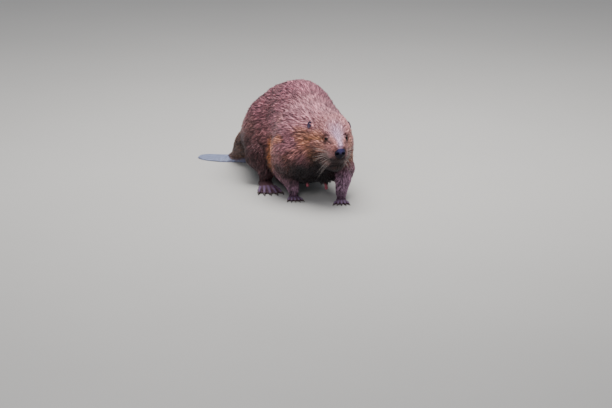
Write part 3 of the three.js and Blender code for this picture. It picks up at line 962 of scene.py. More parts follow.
def make_mesh(name: str, verts: Points, faces: np.ndarray, material: bpy.types.Material) -> bpy.types.Object:
    """A smooth mesh object from arrays.

    Args:
        name: The piece's name.
        verts: Points in millimetres.
        faces: Rows of three or four vertex numbers.
        material: The finish.

    Returns:
        The object.
    """
    mesh = bpy.data.meshes.new(name)
    sides = faces.shape[1]
    mesh.vertices.add(len(verts))
    mesh.vertices.foreach_set("co", to_frame(verts).astype(np.float32).ravel())
    mesh.loops.add(faces.size)
    mesh.loops.foreach_set("vertex_index", faces.astype(np.int32).ravel())
    mesh.polygons.add(len(faces))
    mesh.polygons.foreach_set("loop_start", np.arange(0, faces.size, sides, dtype=np.int32))
    mesh.update(calc_edges=True)
    mesh.polygons.foreach_set("use_smooth", np.full(len(faces), True))
    mesh.materials.append(material)
    return link(name, mesh)


def add_colours(piece: bpy.types.Object, name: str, colours: np.ndarray) -> None:
    """Adds linear vertex colours to a piece."""
    layer = piece.data.color_attributes.new(name, "FLOAT_COLOR", "POINT")
    full = np.concatenate([colours, np.ones((len(colours), 1))], 1)
    layer.data.foreach_set("color", full.astype(np.float32).ravel())


def add_values(piece: bpy.types.Object, name: str, values: np.ndarray) -> None:
    """Adds one number a vertex to a piece."""
    layer = piece.data.attributes.new(name, "FLOAT", "POINT")
    layer.data.foreach_set("value", values.astype(np.float32))


def ring_faces(start: int, rings: int, spokes: int) -> list[list[int]]:
    """Triangles between rings of vertices that follow one another."""
    faces = []
    for i in range(rings - 1):
        for j in range(spokes):
            a, b = (start + i * spokes + k % spokes for k in (j, j + 1))
            faces += [[a, b, b + spokes], [a, b + spokes, a + spokes]]
    return faces


def fan(hub: int, start: int, spokes: int) -> list[list[int]]:
    """Triangles between one vertex and a ring, facing as those of the band after the ring."""
    return [[hub, start + (j + 1) % spokes, start + j] for j in range(spokes)]


def turned(faces: list[list[int]]) -> list[list[int]]:
    """Faces that look the other way."""
    return [face[::-1] for face in faces]


def outward(verts: Points, faces: list[list[int]]) -> np.ndarray:
    """Faces of a closed shape, turned to look outward if they look in."""
    rows = np.array(faces)
    a, b, c = (verts[rows[:, m]] for m in range(3))
    return rows if (a * np.cross(b, c)).sum() > 0 else rows[:, ::-1]


def ruled(low: float, high: float, step: float, finer: tuple[Triple, ...] = ()) -> np.ndarray:
    """Grid lines from low to high, closer within some stretches.

    Args:
        low: The first line.
        high: The end.
        step: The usual spacing.
        finer: Stretches as start, end and spacing there.

    Returns:
        The lines' places.
    """
    lines = [low]
    while lines[-1] < high:
        here = lines[-1]
        lines.append(here + min([step] + [s for a, b, s in finer if a <= here < b]))
    return np.array(lines)


@dataclass
class Net:
    """Turns a field into one closed surface over a grid, working out only the cells near the surface."""

    distance: Callable[[Points], np.ndarray]
    lines: tuple[np.ndarray, np.ndarray, np.ndarray]
    block: int = 4
    margin: float = 9.0
    outside: float = 10.0
    batch: int = 200000

    @staticmethod
    def _window(corner: tuple[int, ...], shape: tuple[int, ...]) -> tuple[slice, ...]:
        """The grid points that are the given corner of every cell."""
        return tuple(slice(c, c + n) for c, n in zip(corner, shape))

    def _field(self) -> np.ndarray:
        """The field on the grid, exact near the surface and only its sign elsewhere."""
        b = self.block
        padded = [np.append(v, v[-1] + (v[-1] - v[-2]) * np.arange(1, 1 + (-(len(v) - 1)) % b)) for v in self.lines]
        coarse = np.stack(np.meshgrid(*[v[::b] for v in padded], indexing="ij"), -1)
        rough = self.distance(coarse.reshape(-1, 3)).reshape(coarse.shape[:3])
        spans = np.stack(np.meshgrid(*[np.diff(v[::b]) for v in padded], indexing="ij"), -1)
        limit = np.linalg.norm(spans, axis=-1) * 0.62 + self.margin
        near = np.full(limit.shape, np.inf)
        for corner in np.ndindex(2, 2, 2):
            near = np.minimum(near, np.abs(rough[self._window(corner, limit.shape)]))
        full, wanted = rough, near < limit
        for axis in range(3):
            full = np.repeat(full, b, axis)
            wanted = np.repeat(wanted, b, axis)
            edge = np.zeros_like(np.take(wanted, [0], axis))
            wanted = np.concatenate([wanted, edge], axis) | np.concatenate([edge, wanted], axis)
        shape = tuple(len(v) for v in padded)
        full = full[:shape[0], :shape[1], :shape[2]].copy()
        rows = np.argwhere(wanted)
        for part in np.array_split(rows, max(1, len(rows) // self.batch)):
            p = np.stack([padded[a][part[:, a]] for a in range(3)], -1)
            full[tuple(part.T)] = self.distance(p)
        for axis in range(3):
            for end in (0, -1):
                np.moveaxis(full, axis, 0)[end] = self.outside
        self.lines = tuple(padded)
        return full

    def build(self) -> tuple[Points, np.ndarray]:
        """The surface.

        Returns:
            Vertices in millimetres and four-sided faces that look outward.
        """
        d = self._field()
        inside = d < 0
        shape = tuple(n - 1 for n in d.shape)
        count = sum(inside[self._window(corner, shape)].astype(np.uint8) for corner in np.ndindex(2, 2, 2))
        cells = np.argwhere((count > 0) & (count < 8))
        number = np.full(count.shape, -1, np.int64)
        number[tuple(cells.T)] = np.arange(len(cells))
        total, hits = np.zeros((len(cells), 3)), np.zeros(len(cells))
        for corner in np.ndindex(2, 2, 2):
            for axis in range(3):
                if corner[axis]:
                    continue
                other = list(corner)
                other[axis] = 1
                here, there = cells + corner, cells + other
                a, b = d[tuple(here.T)], d[tuple(there.T)]
                cut = (a < 0) != (b < 0)
                t = np.where(cut, a / np.where(cut, a - b, 1), 0)
                point = np.stack([self.lines[m][here[:, m]] for m in range(3)], -1)
                point[:, axis] += t * (self.lines[axis][there[:, axis]] - self.lines[axis][here[:, axis]])
                total[cut] += point[cut]
                hits[cut] += 1
        quads = []
        for axis in range(3):
            e, f = (axis + 1) % 3, (axis + 2) % 3
            head, tail = [slice(None)] * 3, [slice(None)] * 3
            head[axis], tail[axis] = slice(0, -1), slice(1, None)
            edges = np.argwhere(inside[tuple(head)] != inside[tuple(tail)])
            flip = inside[tuple(head)][tuple(edges.T)]
            ring = []
            for de, df in ((1, 1), (0, 1), (0, 0), (1, 0)):
                c = edges.copy()
                c[:, e] -= de
                c[:, f] -= df
                ring.append(number[tuple(c.T)])
            quad = np.stack(ring, 1)
            quad[~flip] = quad[~flip][:, ::-1]
            quads.append(quad)
        return total / hits[:, None], np.concatenate(quads)


# ---------- finishes ----------
@dataclass(frozen=True)
class Wire:
    """A socket's value, to be added, multiplied and so on."""

    brush: "Brush"
    socket: bpy.types.NodeSocket

    def _math(self, operation: str, a: "Wire | float", b: "Wire | float") -> "Wire":
        """One Math node as a wire."""
        return self.brush.wire("Math", {"operation": operation}, {0: a, 1: b})

    def __add__(self, other: "Wire | float") -> "Wire":
        """self + other."""
        return self._math("ADD", self, other)

    def __radd__(self, other: float) -> "Wire":
        """other + self."""
        return self._math("ADD", other, self)

    def __sub__(self, other: "Wire | float") -> "Wire":
        """self - other."""
        return self._math("SUBTRACT", self, other)

    def __rsub__(self, other: float) -> "Wire":
        """other - self."""
        return self._math("SUBTRACT", other, self)

    def __mul__(self, other: "Wire | float") -> "Wire":
        """self * other."""
        return self._math("MULTIPLY", self, other)

    def __rmul__(self, other: float) -> "Wire":
        """other * self."""
        return self._math("MULTIPLY", other, self)

    def __pow__(self, other: "Wire | float") -> "Wire":
        """self ** other."""
        return self._math("POWER", self, other)


@dataclass
class Brush:
    """Writes one material's nodes."""

    name: str

    def __post_init__(self) -> None:
        """Makes the material and finds its shader."""
        self.material = bpy.data.materials.new(self.name)
        self.material.use_nodes = True
        self.tree = self.material.node_tree
        self.shader = self.tree.nodes["Principled BSDF"]

    def node(self, kind: str, settings: dict[str, Any] | None = None,
             sockets: dict[int | str, Any] | None = None) -> bpy.types.Node:
        """Any node.

        Args:
            kind: The node's type without its first word.
            settings: Properties that are set first.
            sockets: Values or wires by input name or number.

        Returns:
            The node.
        """
        made = self.tree.nodes.new("ShaderNode" + kind)
        for key, value in (settings or {}).items():
            setattr(made, key, value)
        for key, value in (sockets or {}).items():
            if isinstance(value, Wire):
                self.tree.links.new(value.socket, made.inputs[key])
            else:
                made.inputs[key].default_value = value
        return made

    def wire(self, kind: str, settings: dict[str, Any] | None = None,
             sockets: dict[int | str, Any] | None = None, output: int | str = 0) -> Wire:
        """One output of a new node.

        Args:
            kind: The node's type without its first word.
            settings: Properties that are set first.
            sockets: Values or wires by input.
            output: Which output is wanted.

        Returns:
            The output as a wire.
        """
        return Wire(self, self.node(kind, settings, sockets).outputs[output])

    def mix(self, factor: Wire | float, a: Wire | Colour, b: Wire | Colour, blend: str = "MIX") -> Wire:
        """Two colours mixed.

        Args:
            factor: The share of b.
            a: A colour.
            b: A colour.
            blend: How they are mixed.

        Returns:
            The mixed colour.
        """
        full = {6: a if isinstance(a, Wire) else (*a, 1), 7: b if isinstance(b, Wire) else (*b, 1), 0: factor}
        return self.wire("Mix", {"data_type": "RGBA", "blend_type": blend}, full, 2)

    def mottled(self, scale: float, detail: float, a: Colour, b: Colour) -> Wire:
        """Two colours mixed by noise in space."""
        return self.mix(self.noise(scale, detail), a, b)

    def attribute(self, name: str, output: str = "Fac") -> Wire:
        """What the mesh carries under a name."""
        return self.wire("Attribute", {"attribute_name": name}, output=output)

    def step(self, value: Wire, low: float, high: float) -> Wire:
        """A smooth step of a value from 0 at low to 1 at high."""
        ends = {"Value": value, "From Min": low, "From Max": high}
        return self.wire("MapRange", {"interpolation_type": "SMOOTHSTEP"}, ends)

    def place(self) -> Wire:
        """Where the surface is, in metres."""
        return self.wire("TexCoord", output="Object")

    def noise(self, scale: float, detail: float) -> Wire:
        """Even noise in space."""
        sockets = {"Vector": self.place(), "Scale": scale, "Detail": detail, "Roughness": 0.55}
        return self.wire("TexNoise", None, sockets, "Fac")

    def cells(self, scale: float) -> Wire:
        """Cells in space, by the distance from their edges."""
        sockets = {"Vector": self.place(), "Scale": scale}
        return self.wire("TexVoronoi", {"feature": "DISTANCE_TO_EDGE"}, sockets, "Distance")

    def bump(self, height: Wire, strength: float, distance: float) -> None:
        """Feeds a height to the shader's normal."""
        sockets = {"Height": height, "Strength": strength, "Distance": distance}
        self.surface("Normal", self.wire("Bump", None, sockets))

    def surface(self, name: str, value: Any) -> None:
        """Sets or links one of the shader's sockets."""
        if isinstance(value, Wire):
            self.tree.links.new(value.socket, self.shader.inputs[name])
        else:
            self.shader.inputs[name].default_value = value

    def shine(self, **uniform: float) -> None:
        """Sets uniform sockets of the shader, named with _ for each space."""
        for name, value in uniform.items():
            self.surface(name.replace("_", " "), value)


@dataclass(frozen=True)
class CoatFinish:
    """Glossy guard hair that takes its colours from the locks."""

    roughness: float = 0.44
    sheen: float = 0.08

    def make(self) -> bpy.types.Material:
        """The coat's material."""
        b = Brush("guard_hair")
        colour = b.attribute("hair", "Color")
        grain = b.mottled(900, 2, (0.55, 0.55, 0.55), (1.3, 1.28, 1.25))
        b.surface("Base Color", b.mix(0.55, colour, grain, "MULTIPLY"))
        b.surface("Roughness", self.roughness + 0.22 * (b.noise(260, 2) - 0.5))
        b.shine(Specular_IOR_Level=0.34, Sheen_Weight=self.sheen, Sheen_Roughness=0.45)
        b.surface("Sheen Tint", (0.88, 0.80, 0.92, 1.0))
        b.bump(b.noise(1500, 2), 0.35, 0.0006)
        return b.material


@dataclass(frozen=True)
class SkinFinish:
    """Hide under the coat, with short flat hair as bump, and bare creased skin on the feet, darker in the creases as
    painted shade.
    """

    def make(self) -> bpy.types.Material:
        """The skin's material."""
        b = Brush("hide")
        bare = b.attribute("bare")
        colour = b.attribute("hide", "Color")
        creases = b.step(b.cells(430), 0.0, 0.22)
        blotch = b.mottled(120, 4, (0.62, 0.58, 0.62), (1.25, 1.18, 1.25))
        tone = b.mix(0.75, colour, blotch, "MULTIPLY")
        # Painted shade: bare skin darkened along the creases.
        b.surface("Base Color", b.mix((1 - creases) * bare * 0.45, tone, (0.035, 0.022, 0.028)))
        b.surface("Roughness", 0.74 - 0.26 * bare + 0.16 * (b.noise(300, 2) - 0.5))
        b.shine(Specular_IOR_Level=0.4)
        hair = b.noise(1100, 3) * (1 - bare)
        b.bump(hair * 0.6 + creases * bare + 0.5 * b.noise(220, 3), 0.55, 0.0012)
        return b.material


@dataclass(frozen=True)
class ScaleFinish:
    """Grey, horny tail scales, darker at their edges by painted shade in their colours."""

    def make(self) -> bpy.types.Material:
        """The scales' material."""
        b = Brush("tail_scale")
        colour = b.attribute("hair", "Color")
        grime = b.mottled(160, 4, (0.6, 0.58, 0.6), (1.3, 1.3, 1.35))
        b.surface("Base Color", b.mix(0.6, colour, grime, "MULTIPLY"))
        b.surface("Roughness", 0.42 + 0.3 * b.noise(210, 3))
        b.shine(Coat_Weight=0.15, Coat_Roughness=0.35)
        b.bump(b.noise(700, 3), 0.4, 0.0006)
        return b.material


@dataclass(frozen=True)
class HornFinish:
    """Dark claws, paler where they grow."""

    def make(self) -> bpy.types.Material:
        """The claws' material."""
        b = Brush("claw_horn")
        tip = b.attribute("along")
        streak = b.noise(420, 3)
        base = b.mix(streak, srgb(96, 78, 76), srgb(120, 100, 96))
        end = b.mix(streak, srgb(34, 27, 27), srgb(52, 42, 40))
        b.surface("Base Color", b.mix(tip ** 0.8, base, end))
        b.surface("Roughness", 0.3 + 0.2 * streak)
        b.shine(Coat_Weight=0.25, Coat_Roughness=0.2)
        b.bump(streak, 0.2, 0.0004)
        return b.material


@dataclass(frozen=True)
class NoseFinish:
    """Damp, pebbled nose leather, with painted shade between the pebbles and a painted highlight on top."""

    def make(self) -> bpy.types.Material:
        """The nose pad's material."""
        b = Brush("nose_leather")
        pebble = b.step(b.cells(620), 0.0, 0.35)
        # Painted highlight: pale lilac where the top attribute is set.
        leather = b.mix(b.attribute("top"), b.mottled(120, 3, srgb(12, 9, 20), srgb(26, 20, 40)), srgb(98, 90, 148))
        # Painted shade: darker between the pebbles.
        b.surface("Base Color", b.mix(pebble * 0.6 + 0.4, srgb(6, 4, 10), leather))
        b.surface("Roughness", 0.34 + 0.18 * b.noise(300, 2))
        b.shine(Specular_IOR_Level=0.2, Coat_Weight=0.06, Coat_Roughness=0.25)
        b.bump(pebble + 0.4 * b.noise(200, 2), 0.4, 0.0006)
        return b.material


@dataclass(frozen=True)
class EyeFinish:
    """A wet, nearly black eye with a brown iris."""

    def make(self) -> bpy.types.Material:
        """The eyes' material."""
        b = Brush("eye_glass")
        out = b.attribute("rim")
        iris = b.mottled(900, 4, srgb(18, 11, 10), srgb(36, 23, 20))
        ring = b.mix(b.step(out, 0.62, 0.78), iris, srgb(24, 17, 20))
        b.surface("Base Color", b.mix(b.step(out, 0.30, 0.36), (0.003, 0.003, 0.004), ring))
        b.surface("Roughness", 0.12 + 0.03 * b.noise(60, 1))
        b.shine(Specular_IOR_Level=0.16, Coat_Weight=0.06, Coat_Roughness=0.05)
        return b.material


@dataclass(frozen=True)
class WhiskerFinish:
    """Pale, stiff whisker bristle."""

    def make(self) -> bpy.types.Material:
        """The whiskers' material."""
        b = Brush("whisker_bristle")
        b.surface("Base Color", b.mix(b.attribute("along"), srgb(120, 92, 84), srgb(240, 228, 224)))
        b.surface("Roughness", 0.35 + 0.15 * b.noise(200, 1))
        return b.material


@dataclass(frozen=True)
class EarFinish:
    """Dark, finely haired ear leather."""

    def make(self) -> bpy.types.Material:
        """The ears' material."""
        b = Brush("ear_leather")
        outer = b.mottled(300, 3, srgb(66, 50, 54), srgb(96, 74, 80))
        inner = b.mottled(200, 3, srgb(40, 30, 48), srgb(78, 60, 92))
        b.surface("Base Color", b.mix(b.attribute("inner"), outer, inner))
        b.surface("Roughness", 0.62 + 0.2 * b.noise(260, 2))
        b.bump(b.noise(800, 3), 0.4, 0.0006)
        return b.material


@dataclass(frozen=True)
class FloorFinish:
    """A plain pale studio floor."""

    def make(self) -> bpy.types.Material:
        """The floor's material."""
        b = Brush("studio_floor")
        b.surface("Base Color", b.mottled(1.2, 2, srgb(198, 196, 192), srgb(206, 204, 200)))
        b.surface("Roughness", 0.8 + 0.1 * b.noise(8, 2))
        return b.material


# ---------- pieces ----------
FLESH_NODES = ("head", "neck", "trunk", "tail_root", "tail_blade") + tuple(
    f"{part}_{side.label}" for part in ("haunch", "shank", "forearm", "hind_foot", "fore_foot") for side in Side)


def dress(piece: bpy.types.Object, slot: str, *nodes: str) -> bpy.types.Object:
    """Ties a piece to the body and hides the solids it stands for.

    Args:
        piece: The piece.
        slot: Not used.
        nodes: Names of the solids it replaces.

    Returns:
        The piece.
    """
    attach(piece, BODY)
    if nodes:
        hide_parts(*nodes)
    LOG.info("%s: %d faces", piece.name, len(piece.data.polygons))
    return piece


@dataclass
class Skin:
    """The one skin under the coat, from nose to tail."""

    anatomy: Anatomy
    flesh: Flesh
    markings: Markings
    lid_reach: float = 11.0
    lid_cell: float = 1.15
    verts: Points = field(default_factory=lambda: np.zeros((0, 3)))
    quads: np.ndarray = field(default_factory=lambda: np.zeros((0, 4), int))
    normals: Points = field(default_factory=lambda: np.zeros((0, 3)))
    share: np.ndarray = field(default_factory=lambda: np.zeros((0, 0)))

    def lines(self) -> tuple[np.ndarray, np.ndarray, np.ndarray]:
        """Grid lines, closer at the eyes, the face and the feet."""
        seats = [self.anatomy.eye_seat(s)[0] for s in Side]
        near = [tuple((c[a] - self.lid_reach, c[a] + self.lid_reach, self.lid_cell) for c in seats) for a in range(3)]
        k = 1.0
        x = ruled(-252, 204, 2.4 * k, near[0])
        fine_y = ((-150, 30, 2.3 * k), (30, 130, 2.8 * k), (130, 420, 3.4 * k), (590, 780, 3 * k))
        y = ruled(-142, 772, 5 * k, (*fine_y, *near[1]))
        z = ruled(-3.2, 374, 3.6 * k, ((-9, 34, 1.6), (34, 300, 2.6 * k), *near[2]))
        return x, y, z

    def build(self, material: bpy.types.Material) -> bpy.types.Object:
        """Builds the skin and gives it its colours.

        Args:
            material: The hide's finish.

        Returns:
            The skin.
        """
        self.verts, self.quads = Net(self.flesh.distance, self.lines()).build()
        self.normals = self.flesh.uphill(self.verts)
        self.share = self.flesh.weights(self.verts)
        root, tip = self.markings.colours(self.verts, self.normals, self.share)
        bare = sum(self.share[:, r] for r in BARE)
        piece = make_mesh("skin", self.verts, self.quads, material)
        face = self.share[:, [*FACE, Region.CHEEK]].sum(1)
        shown = np.maximum(bare, 0.5 * face)[:, None]
        add_colours(piece, "hide", root * (1 - shown) * 0.9 + tip * shown)
        add_values(piece, "bare", bare)
        return dress(piece, "skin", *FLESH_NODES)


class Patch(Enum):
    """Pieces that the coat is shared out into."""

    HEAD_RIGHT = "coat_head_right"
    HEAD_LEFT = "coat_head_left"
    NECK_RIGHT = "coat_neck_right"
    NECK_LEFT = "coat_neck_left"
    FORE_RIGHT = "coat_fore_right"
    FORE_LEFT = "coat_fore_left"
    HIND_RIGHT = "coat_hind_right"
    HIND_LEFT = "coat_hind_left"
    CHEST_RIGHT = "coat_chest_right"
    CHEST_LEFT = "coat_chest_left"
    BACK_RIGHT = "coat_back_right"
    BACK_LEFT = "coat_back_left"
    LOIN_RIGHT = "coat_loin_right"
    LOIN_LEFT = "coat_loin_left"
    RUMP = "coat_rump"
    TAIL_ROOT = "coat_tail_root"


TRUNK_AXIS = ((20, 20, 150), (10, 600, 150))
HEAD_AXIS = (HEAD.place(95, 0, -30), HEAD.place(-110, 0, -30))
NECK_AXIS = ((45, -10, 215), (10, 220, 190))
AXES = {
    Patch.HEAD_RIGHT: HEAD_AXIS, Patch.HEAD_LEFT: HEAD_AXIS,
    Patch.NECK_RIGHT: NECK_AXIS, Patch.NECK_LEFT: NECK_AXIS,
    Patch.FORE_RIGHT: ((-66, 130, 250), (-57, 84, 0)),
    Patch.FORE_LEFT: ((98, 100, 260), (92, -8, 0)),
    Patch.HIND_RIGHT: ((-74, 410, 290), (-100, 300, 0)),
    Patch.HIND_LEFT: ((118, 430, 290), (134, 390, 0)),
    Patch.TAIL_ROOT: ((-10, 510, 150), (-120, 640, 0)),
}
PARTS = {
    "head": (Region.SKULL, Region.CHEEK, Region.MUZZLE, Region.LIP, Region.CHIN, Region.NOSE, Region.LID),
    "neck": (Region.NECK,),
    "fore": (Region.SHOULDER, Region.FOREARM),
    "hind": (Region.HAUNCH, Region.SHANK),
    "tail": (Region.TAIL_ROOT, Region.BLADE),
}
TRUNK_ENDS = {"chest": (-math.inf, 215), "back": (215, 345), "loin": (345, 490)}
MIDLINE = 22.0
LOCK = 7  # vertices of a lock: three at its root, three at its middle, one at its tip
LOCK_FACES = np.array([[0, 1, 4], [0, 4, 3], [1, 2, 5], [1, 5, 4], [2, 0, 3],
                       [2, 3, 5], [3, 4, 6], [4, 5, 6], [5, 3, 6], [0, 2, 1]])
LOCK_MAP = np.array([[-1, -1], [1, -1], [0, -1], [-0.8, 0], [0.8, 0], [0, 0], [0, 1]]) * 0.0015


@dataclass
class Roots:
    """Where locks grow, and what each is like."""

    at: Points
    normal: Points
    flow: Points
    share: np.ndarray
    dark: np.ndarray
    light: np.ndarray
    streak: np.ndarray

    def pick(self, rows: np.ndarray) -> "Roots":
        """Only some of the roots."""
        return Roots(*(values[rows] for values in vars(self).values()))


@dataclass
class Coat:
    """Solid locks of guard hair over the whole skin."""

    skin: Skin
    flesh: Flesh
    markings: Markings
    lie: Lie
    most: int = 19900
    thin: float = 1.0
    seed: int = 20
    clump: int = 7
    sunk: float = 1.2
    eye_clear: float = 8.8
    ear_clear: float = 14.0

    def _table(self, name: str) -> np.ndarray:
        """One number of every region's pelt."""
        return np.array([getattr(PELTS[r], name) for r in Region])

    def _roots(self) -> Roots:
        """Scatters roots over the skin, as closely as each region asks."""
        rng = np.random.default_rng(self.seed)
        v, q, share = self.skin.verts, self.skin.quads, self.skin.share
        tris = np.concatenate([q[:, [0, 1, 2]], q[:, [0, 2, 3]]], 1).reshape(-1, 3)
        a, b, c = (v[tris[:, m]] for m in range(3))
        area = np.linalg.norm(np.cross(b - a, c - a), axis=1) / 2
        bare = sum(share[:, r] for r in BARE if r is not Region.NOSE)
        grow = (1 - smooth(0.25, 0.6, bare)) / (share @ self._table("patch"))
        grow *= smooth(2, 6, v[:, 2])
        for side in Side:
            centre, _ = self.skin.anatomy.eye_seat(side)
            grow *= smooth(8.0, 9.0, np.linalg.norm(v - centre, axis=1))
            cup, lean = self.skin.anatomy.ear_seat(side)
            grow *= smooth(0.9, 1.0, np.linalg.norm((v - cup) @ lean / [13, 15, 17], axis=1))
            grow *= 1 + 0.8 * np.exp(-(np.linalg.norm(v - centre, axis=1) / 17) ** 2)
        grow *= smooth(-0.5, 1.0, NosePad.zone(v))
        weight = area * grow[tris].mean(1) / self.thin
        total = np.cumsum(weight)
        count = int(total[-1])
        ticks = (np.arange(count) + rng.random(count)) * total[-1] / count
        row = np.minimum(np.searchsorted(total, ticks), len(tris) - 1)
        u, w = rng.random(count), rng.random(count)
        over = u + w > 1
        u[over], w[over] = 1 - u[over], 1 - w[over]
        mix = np.stack([1 - u - w, u, w], 1)
        t = tris[row]

        def blend(values: np.ndarray) -> np.ndarray:
            """Values of the corners mixed at the roots."""
            return (values[t] * mix[..., None]).sum(1)

        at, normal, part = blend(v), unit(blend(self.skin.normals)), blend(share)
        dark, light = self.markings.colours(at, normal, part)
        return Roots(at, normal, self.lie.flow(at, normal, part), part, dark, light, Streaks().at(at, part))

    def _gather(self, roots: Roots, rng: np.random.Generator) -> tuple[np.ndarray, np.ndarray]:
        """Gives each root a leader, around which its clump gathers.

        Args:
            roots: All roots of a piece.
            rng: The piece's own random source.

        Returns:
            Each root's leader as a row, and the leaders' rows.
        """
        leaders = rng.choice(len(roots.at), max(1, len(roots.at) // self.clump), replace=False)
        tree = KDTree(len(leaders))
        for n, row in enumerate(leaders):
            tree.insert(roots.at[row], n)
        tree.balance()
        return leaders[[tree.find(p)[1] for p in roots.at]], leaders

    def _parted(self, at: Points, flow: np.ndarray, length: np.ndarray) -> np.ndarray:
        """Lengths cut so that no lock crosses an eye or an ear.

        Args:
            at: The locks' roots.
            flow: Which way they lie.
            length: Their lengths so far.

        Returns:
            The lengths.
        """
        anatomy = self.skin.anatomy
        spots = [(anatomy.eye_seat(side)[0], self.eye_clear) for side in Side]
        spots += [(anatomy.ear_seat(side)[0], self.ear_clear) for side in Side]
        for spot, clear in spots:
            ahead = ((spot - at) * flow).sum(1)
            off = np.linalg.norm(spot - at - ahead[:, None] * flow, axis=1)
            room = np.maximum(ahead - np.sqrt(np.maximum(0, clear ** 2 - off ** 2)), 2.5)
            length = np.where((ahead > 0) & (off < clear), np.minimum(length, room), length)
        return length

    @staticmethod
    def _colours(roots: Roots, rng: np.random.Generator, lead: np.ndarray, leader: np.ndarray) -> np.ndarray:
        """Colours of every lock, from dark roots to light tips, with painted shade on its edges, a painted highlight on
        its ridge and a few painted glints.

        Args:
            roots: The piece's roots.
            rng: The piece's own random source.
            lead: Which locks lead a clump.
            leader: Each lock's leader as a row.

        Returns:
            One colour for each of a lock's vertices.
        """
        n = len(roots.at)
        tone = rng.uniform(0.84, 1.16, n) * rng.uniform(0.7, 1.28, n)[leader]
        tone = (tone * np.where(lead, 1.4, 0.76) * (0.6 + 0.8 * roots.streak))[:, None]
        calm = 1 - 0.55 * roots.share[:, FACE].sum(1, keepdims=True)
        tone = 1 + (tone - 1) * calm
        # Painted glints: a few locks are half again as light.
        tone = np.where(rng.random((n, 1)) < 0.05 * calm, tone * 1.5, tone)
        dark, light = roots.dark * (0.5 + 0.5 * tone), roots.light * tone
        mid = dark * 0.45 + light * 0.55
        # Painted shade on the root's corners and the middle's edges, and a painted highlight on the middle's ridge.
        return np.stack([dark * 0.9, dark * 0.9, dark, mid * 0.8, mid * 0.8, mid * 1.16, light], 1)

    def _locks(self, roots: Roots, rng: np.random.Generator) -> tuple[Points, np.ndarray]:
        """Lays every lock of a piece.

        Args:
            roots: The piece's roots.
            rng: The piece's own random source.

        Returns:
            Seven vertices a lock, and their colours.
        """
        n = len(roots.at)
        part, normal = roots.share, roots.normal
        length = part @ self._table("length") * rng.uniform(0.72, 1.15, n)
        width = part @ self._table("width") * rng.uniform(0.7, 1.25, n)
        lift = np.radians(part @ self._table("lift")) * rng.uniform(0.6, 1.5, n)
        gather = part @ self._table("gather")
        side = np.cross(roots.flow, normal)
        yaw = rng.normal(0, 0.16, n)[:, None]
        flow = unit(roots.flow * np.cos(yaw) + side * np.sin(yaw))
        base = roots.at - normal * self.sunk
        leader, leaders = self._gather(roots, rng)
        lead = np.zeros(n, bool)
        lead[leaders] = True
        width *= np.where(lead, 1.4, 0.95)
        length *= np.where(lead, 1.25, 0.95)
        for eye in Side:
            near = np.exp(-(np.linalg.norm(roots.at - self.skin.anatomy.eye_seat(eye)[0], axis=1) / 18) ** 2)
            length *= 1 - 0.5 * near
            lift *= 1 + 0.7 * near
        length = self._parted(roots.at, flow, length)

        def along(start: Points, angle: np.ndarray, share: float) -> Points:
            """A point further along the lock."""
            return start + (flow * np.cos(angle)[:, None] + normal * np.sin(angle)[:, None]) * (length * share)[:, None]

        middle = along(base, lift * 1.7, 0.48)
        tip = along(middle, lift * 0.2, 0.52)
        pull = (gather * rng.uniform(0.6, 1.1, n))[:, None]
        tip += (tip[leader] + (roots.at - roots.at[leader]) * 0.2 - tip) * pull * 0.9
        middle += (middle[leader] + (roots.at - roots.at[leader]) * 0.4 - middle) * pull * 0.35
        high = -self.flesh.distance(roots.at, True)
        low = np.minimum(1, (1 - roots.streak) * 0.8 + np.where(lead, -0.15, 0.25))
        low = low * np.minimum(1, 0.35 + gather)
        for point, share, drop, spread in ((middle, 0.30, 0.5, 0.08), (tip, 0.02, 0.62, 0.10)):
            wanted = -high * (share + drop * low) + rng.normal(0, 1, n) * spread * high
            off = np.clip(wanted - self.flesh.distance(point, True), -0.9 * high - 2, 0.9 * high + 2)
            point += normal * off[:, None]
        heading = unit(tip - base)
        side = unit(np.cross(heading, normal))
        over = np.cross(side, heading)
        half = (width / 2)[:, None]
        verts = np.stack([base - side * half * 0.7, base + side * half * 0.7, base + over * half * 0.5,
                          middle - side * half, middle + side * half, middle + over * half * 0.62, tip], 1)
        verts[..., 2] = np.maximum(verts[..., 2], 0.4)
        return verts, self._colours(roots, rng, lead, leader)

    def _unwrap(self, patch: Patch, roots: Roots) -> np.ndarray:
        """Unrolls a piece's roots round the body part's own axis.

        Args:
            patch: The piece.
            roots: Its roots.

        Returns:
            A place on the map for each root.
        """
        start, end = (np.array(p, float) for p in AXES.get(patch, TRUNK_AXIS))
        axis = unit(end - start)
        flat = unit(np.cross(axis, (0.0, 0.0, 1.0) if abs(axis[2]) < 0.8 else (0.0, 1.0, 0.0)))
        q = roots.at - start
        place = np.stack([np.arctan2(q @ flat, q @ np.cross(axis, flat)), q @ axis], 1)
        low, high = place.min(0), place.max(0)
        return 0.01 + 0.98 * (place - low) / np.maximum(high - low, 1e-6)

    def _piece(self, patch: Patch, roots: Roots, material: bpy.types.Material) -> bpy.types.Object:
        """Makes one coat piece.

        Args:
            patch: Which one.
            roots: Its roots.
            material: The hair's finish.

        Returns:
            The piece.
        """
        rng = np.random.default_rng(self.seed + 100 + list(Patch).index(patch))
        if len(roots.at) > self.most:
            roots = roots.pick(np.sort(rng.choice(len(roots.at), self.most, replace=False)))
        verts, colours = self._locks(roots, rng)
        faces = (np.arange(len(verts))[:, None, None] * LOCK + LOCK_FACES).reshape(-1, 3)
        piece = make_mesh(patch.value, verts.reshape(-1, 3), faces, material)
        add_colours(piece, "hair", colours.reshape(-1, 3))
        spot = self._unwrap(patch, roots)[:, None] + LOCK_MAP
        layer = piece.data.uv_layers.new(name="OFBake")
        layer.uv.foreach_set("vector", spot.reshape(-1, 2)[faces.ravel()].astype(np.float32).ravel())
        return dress(piece, "coat")

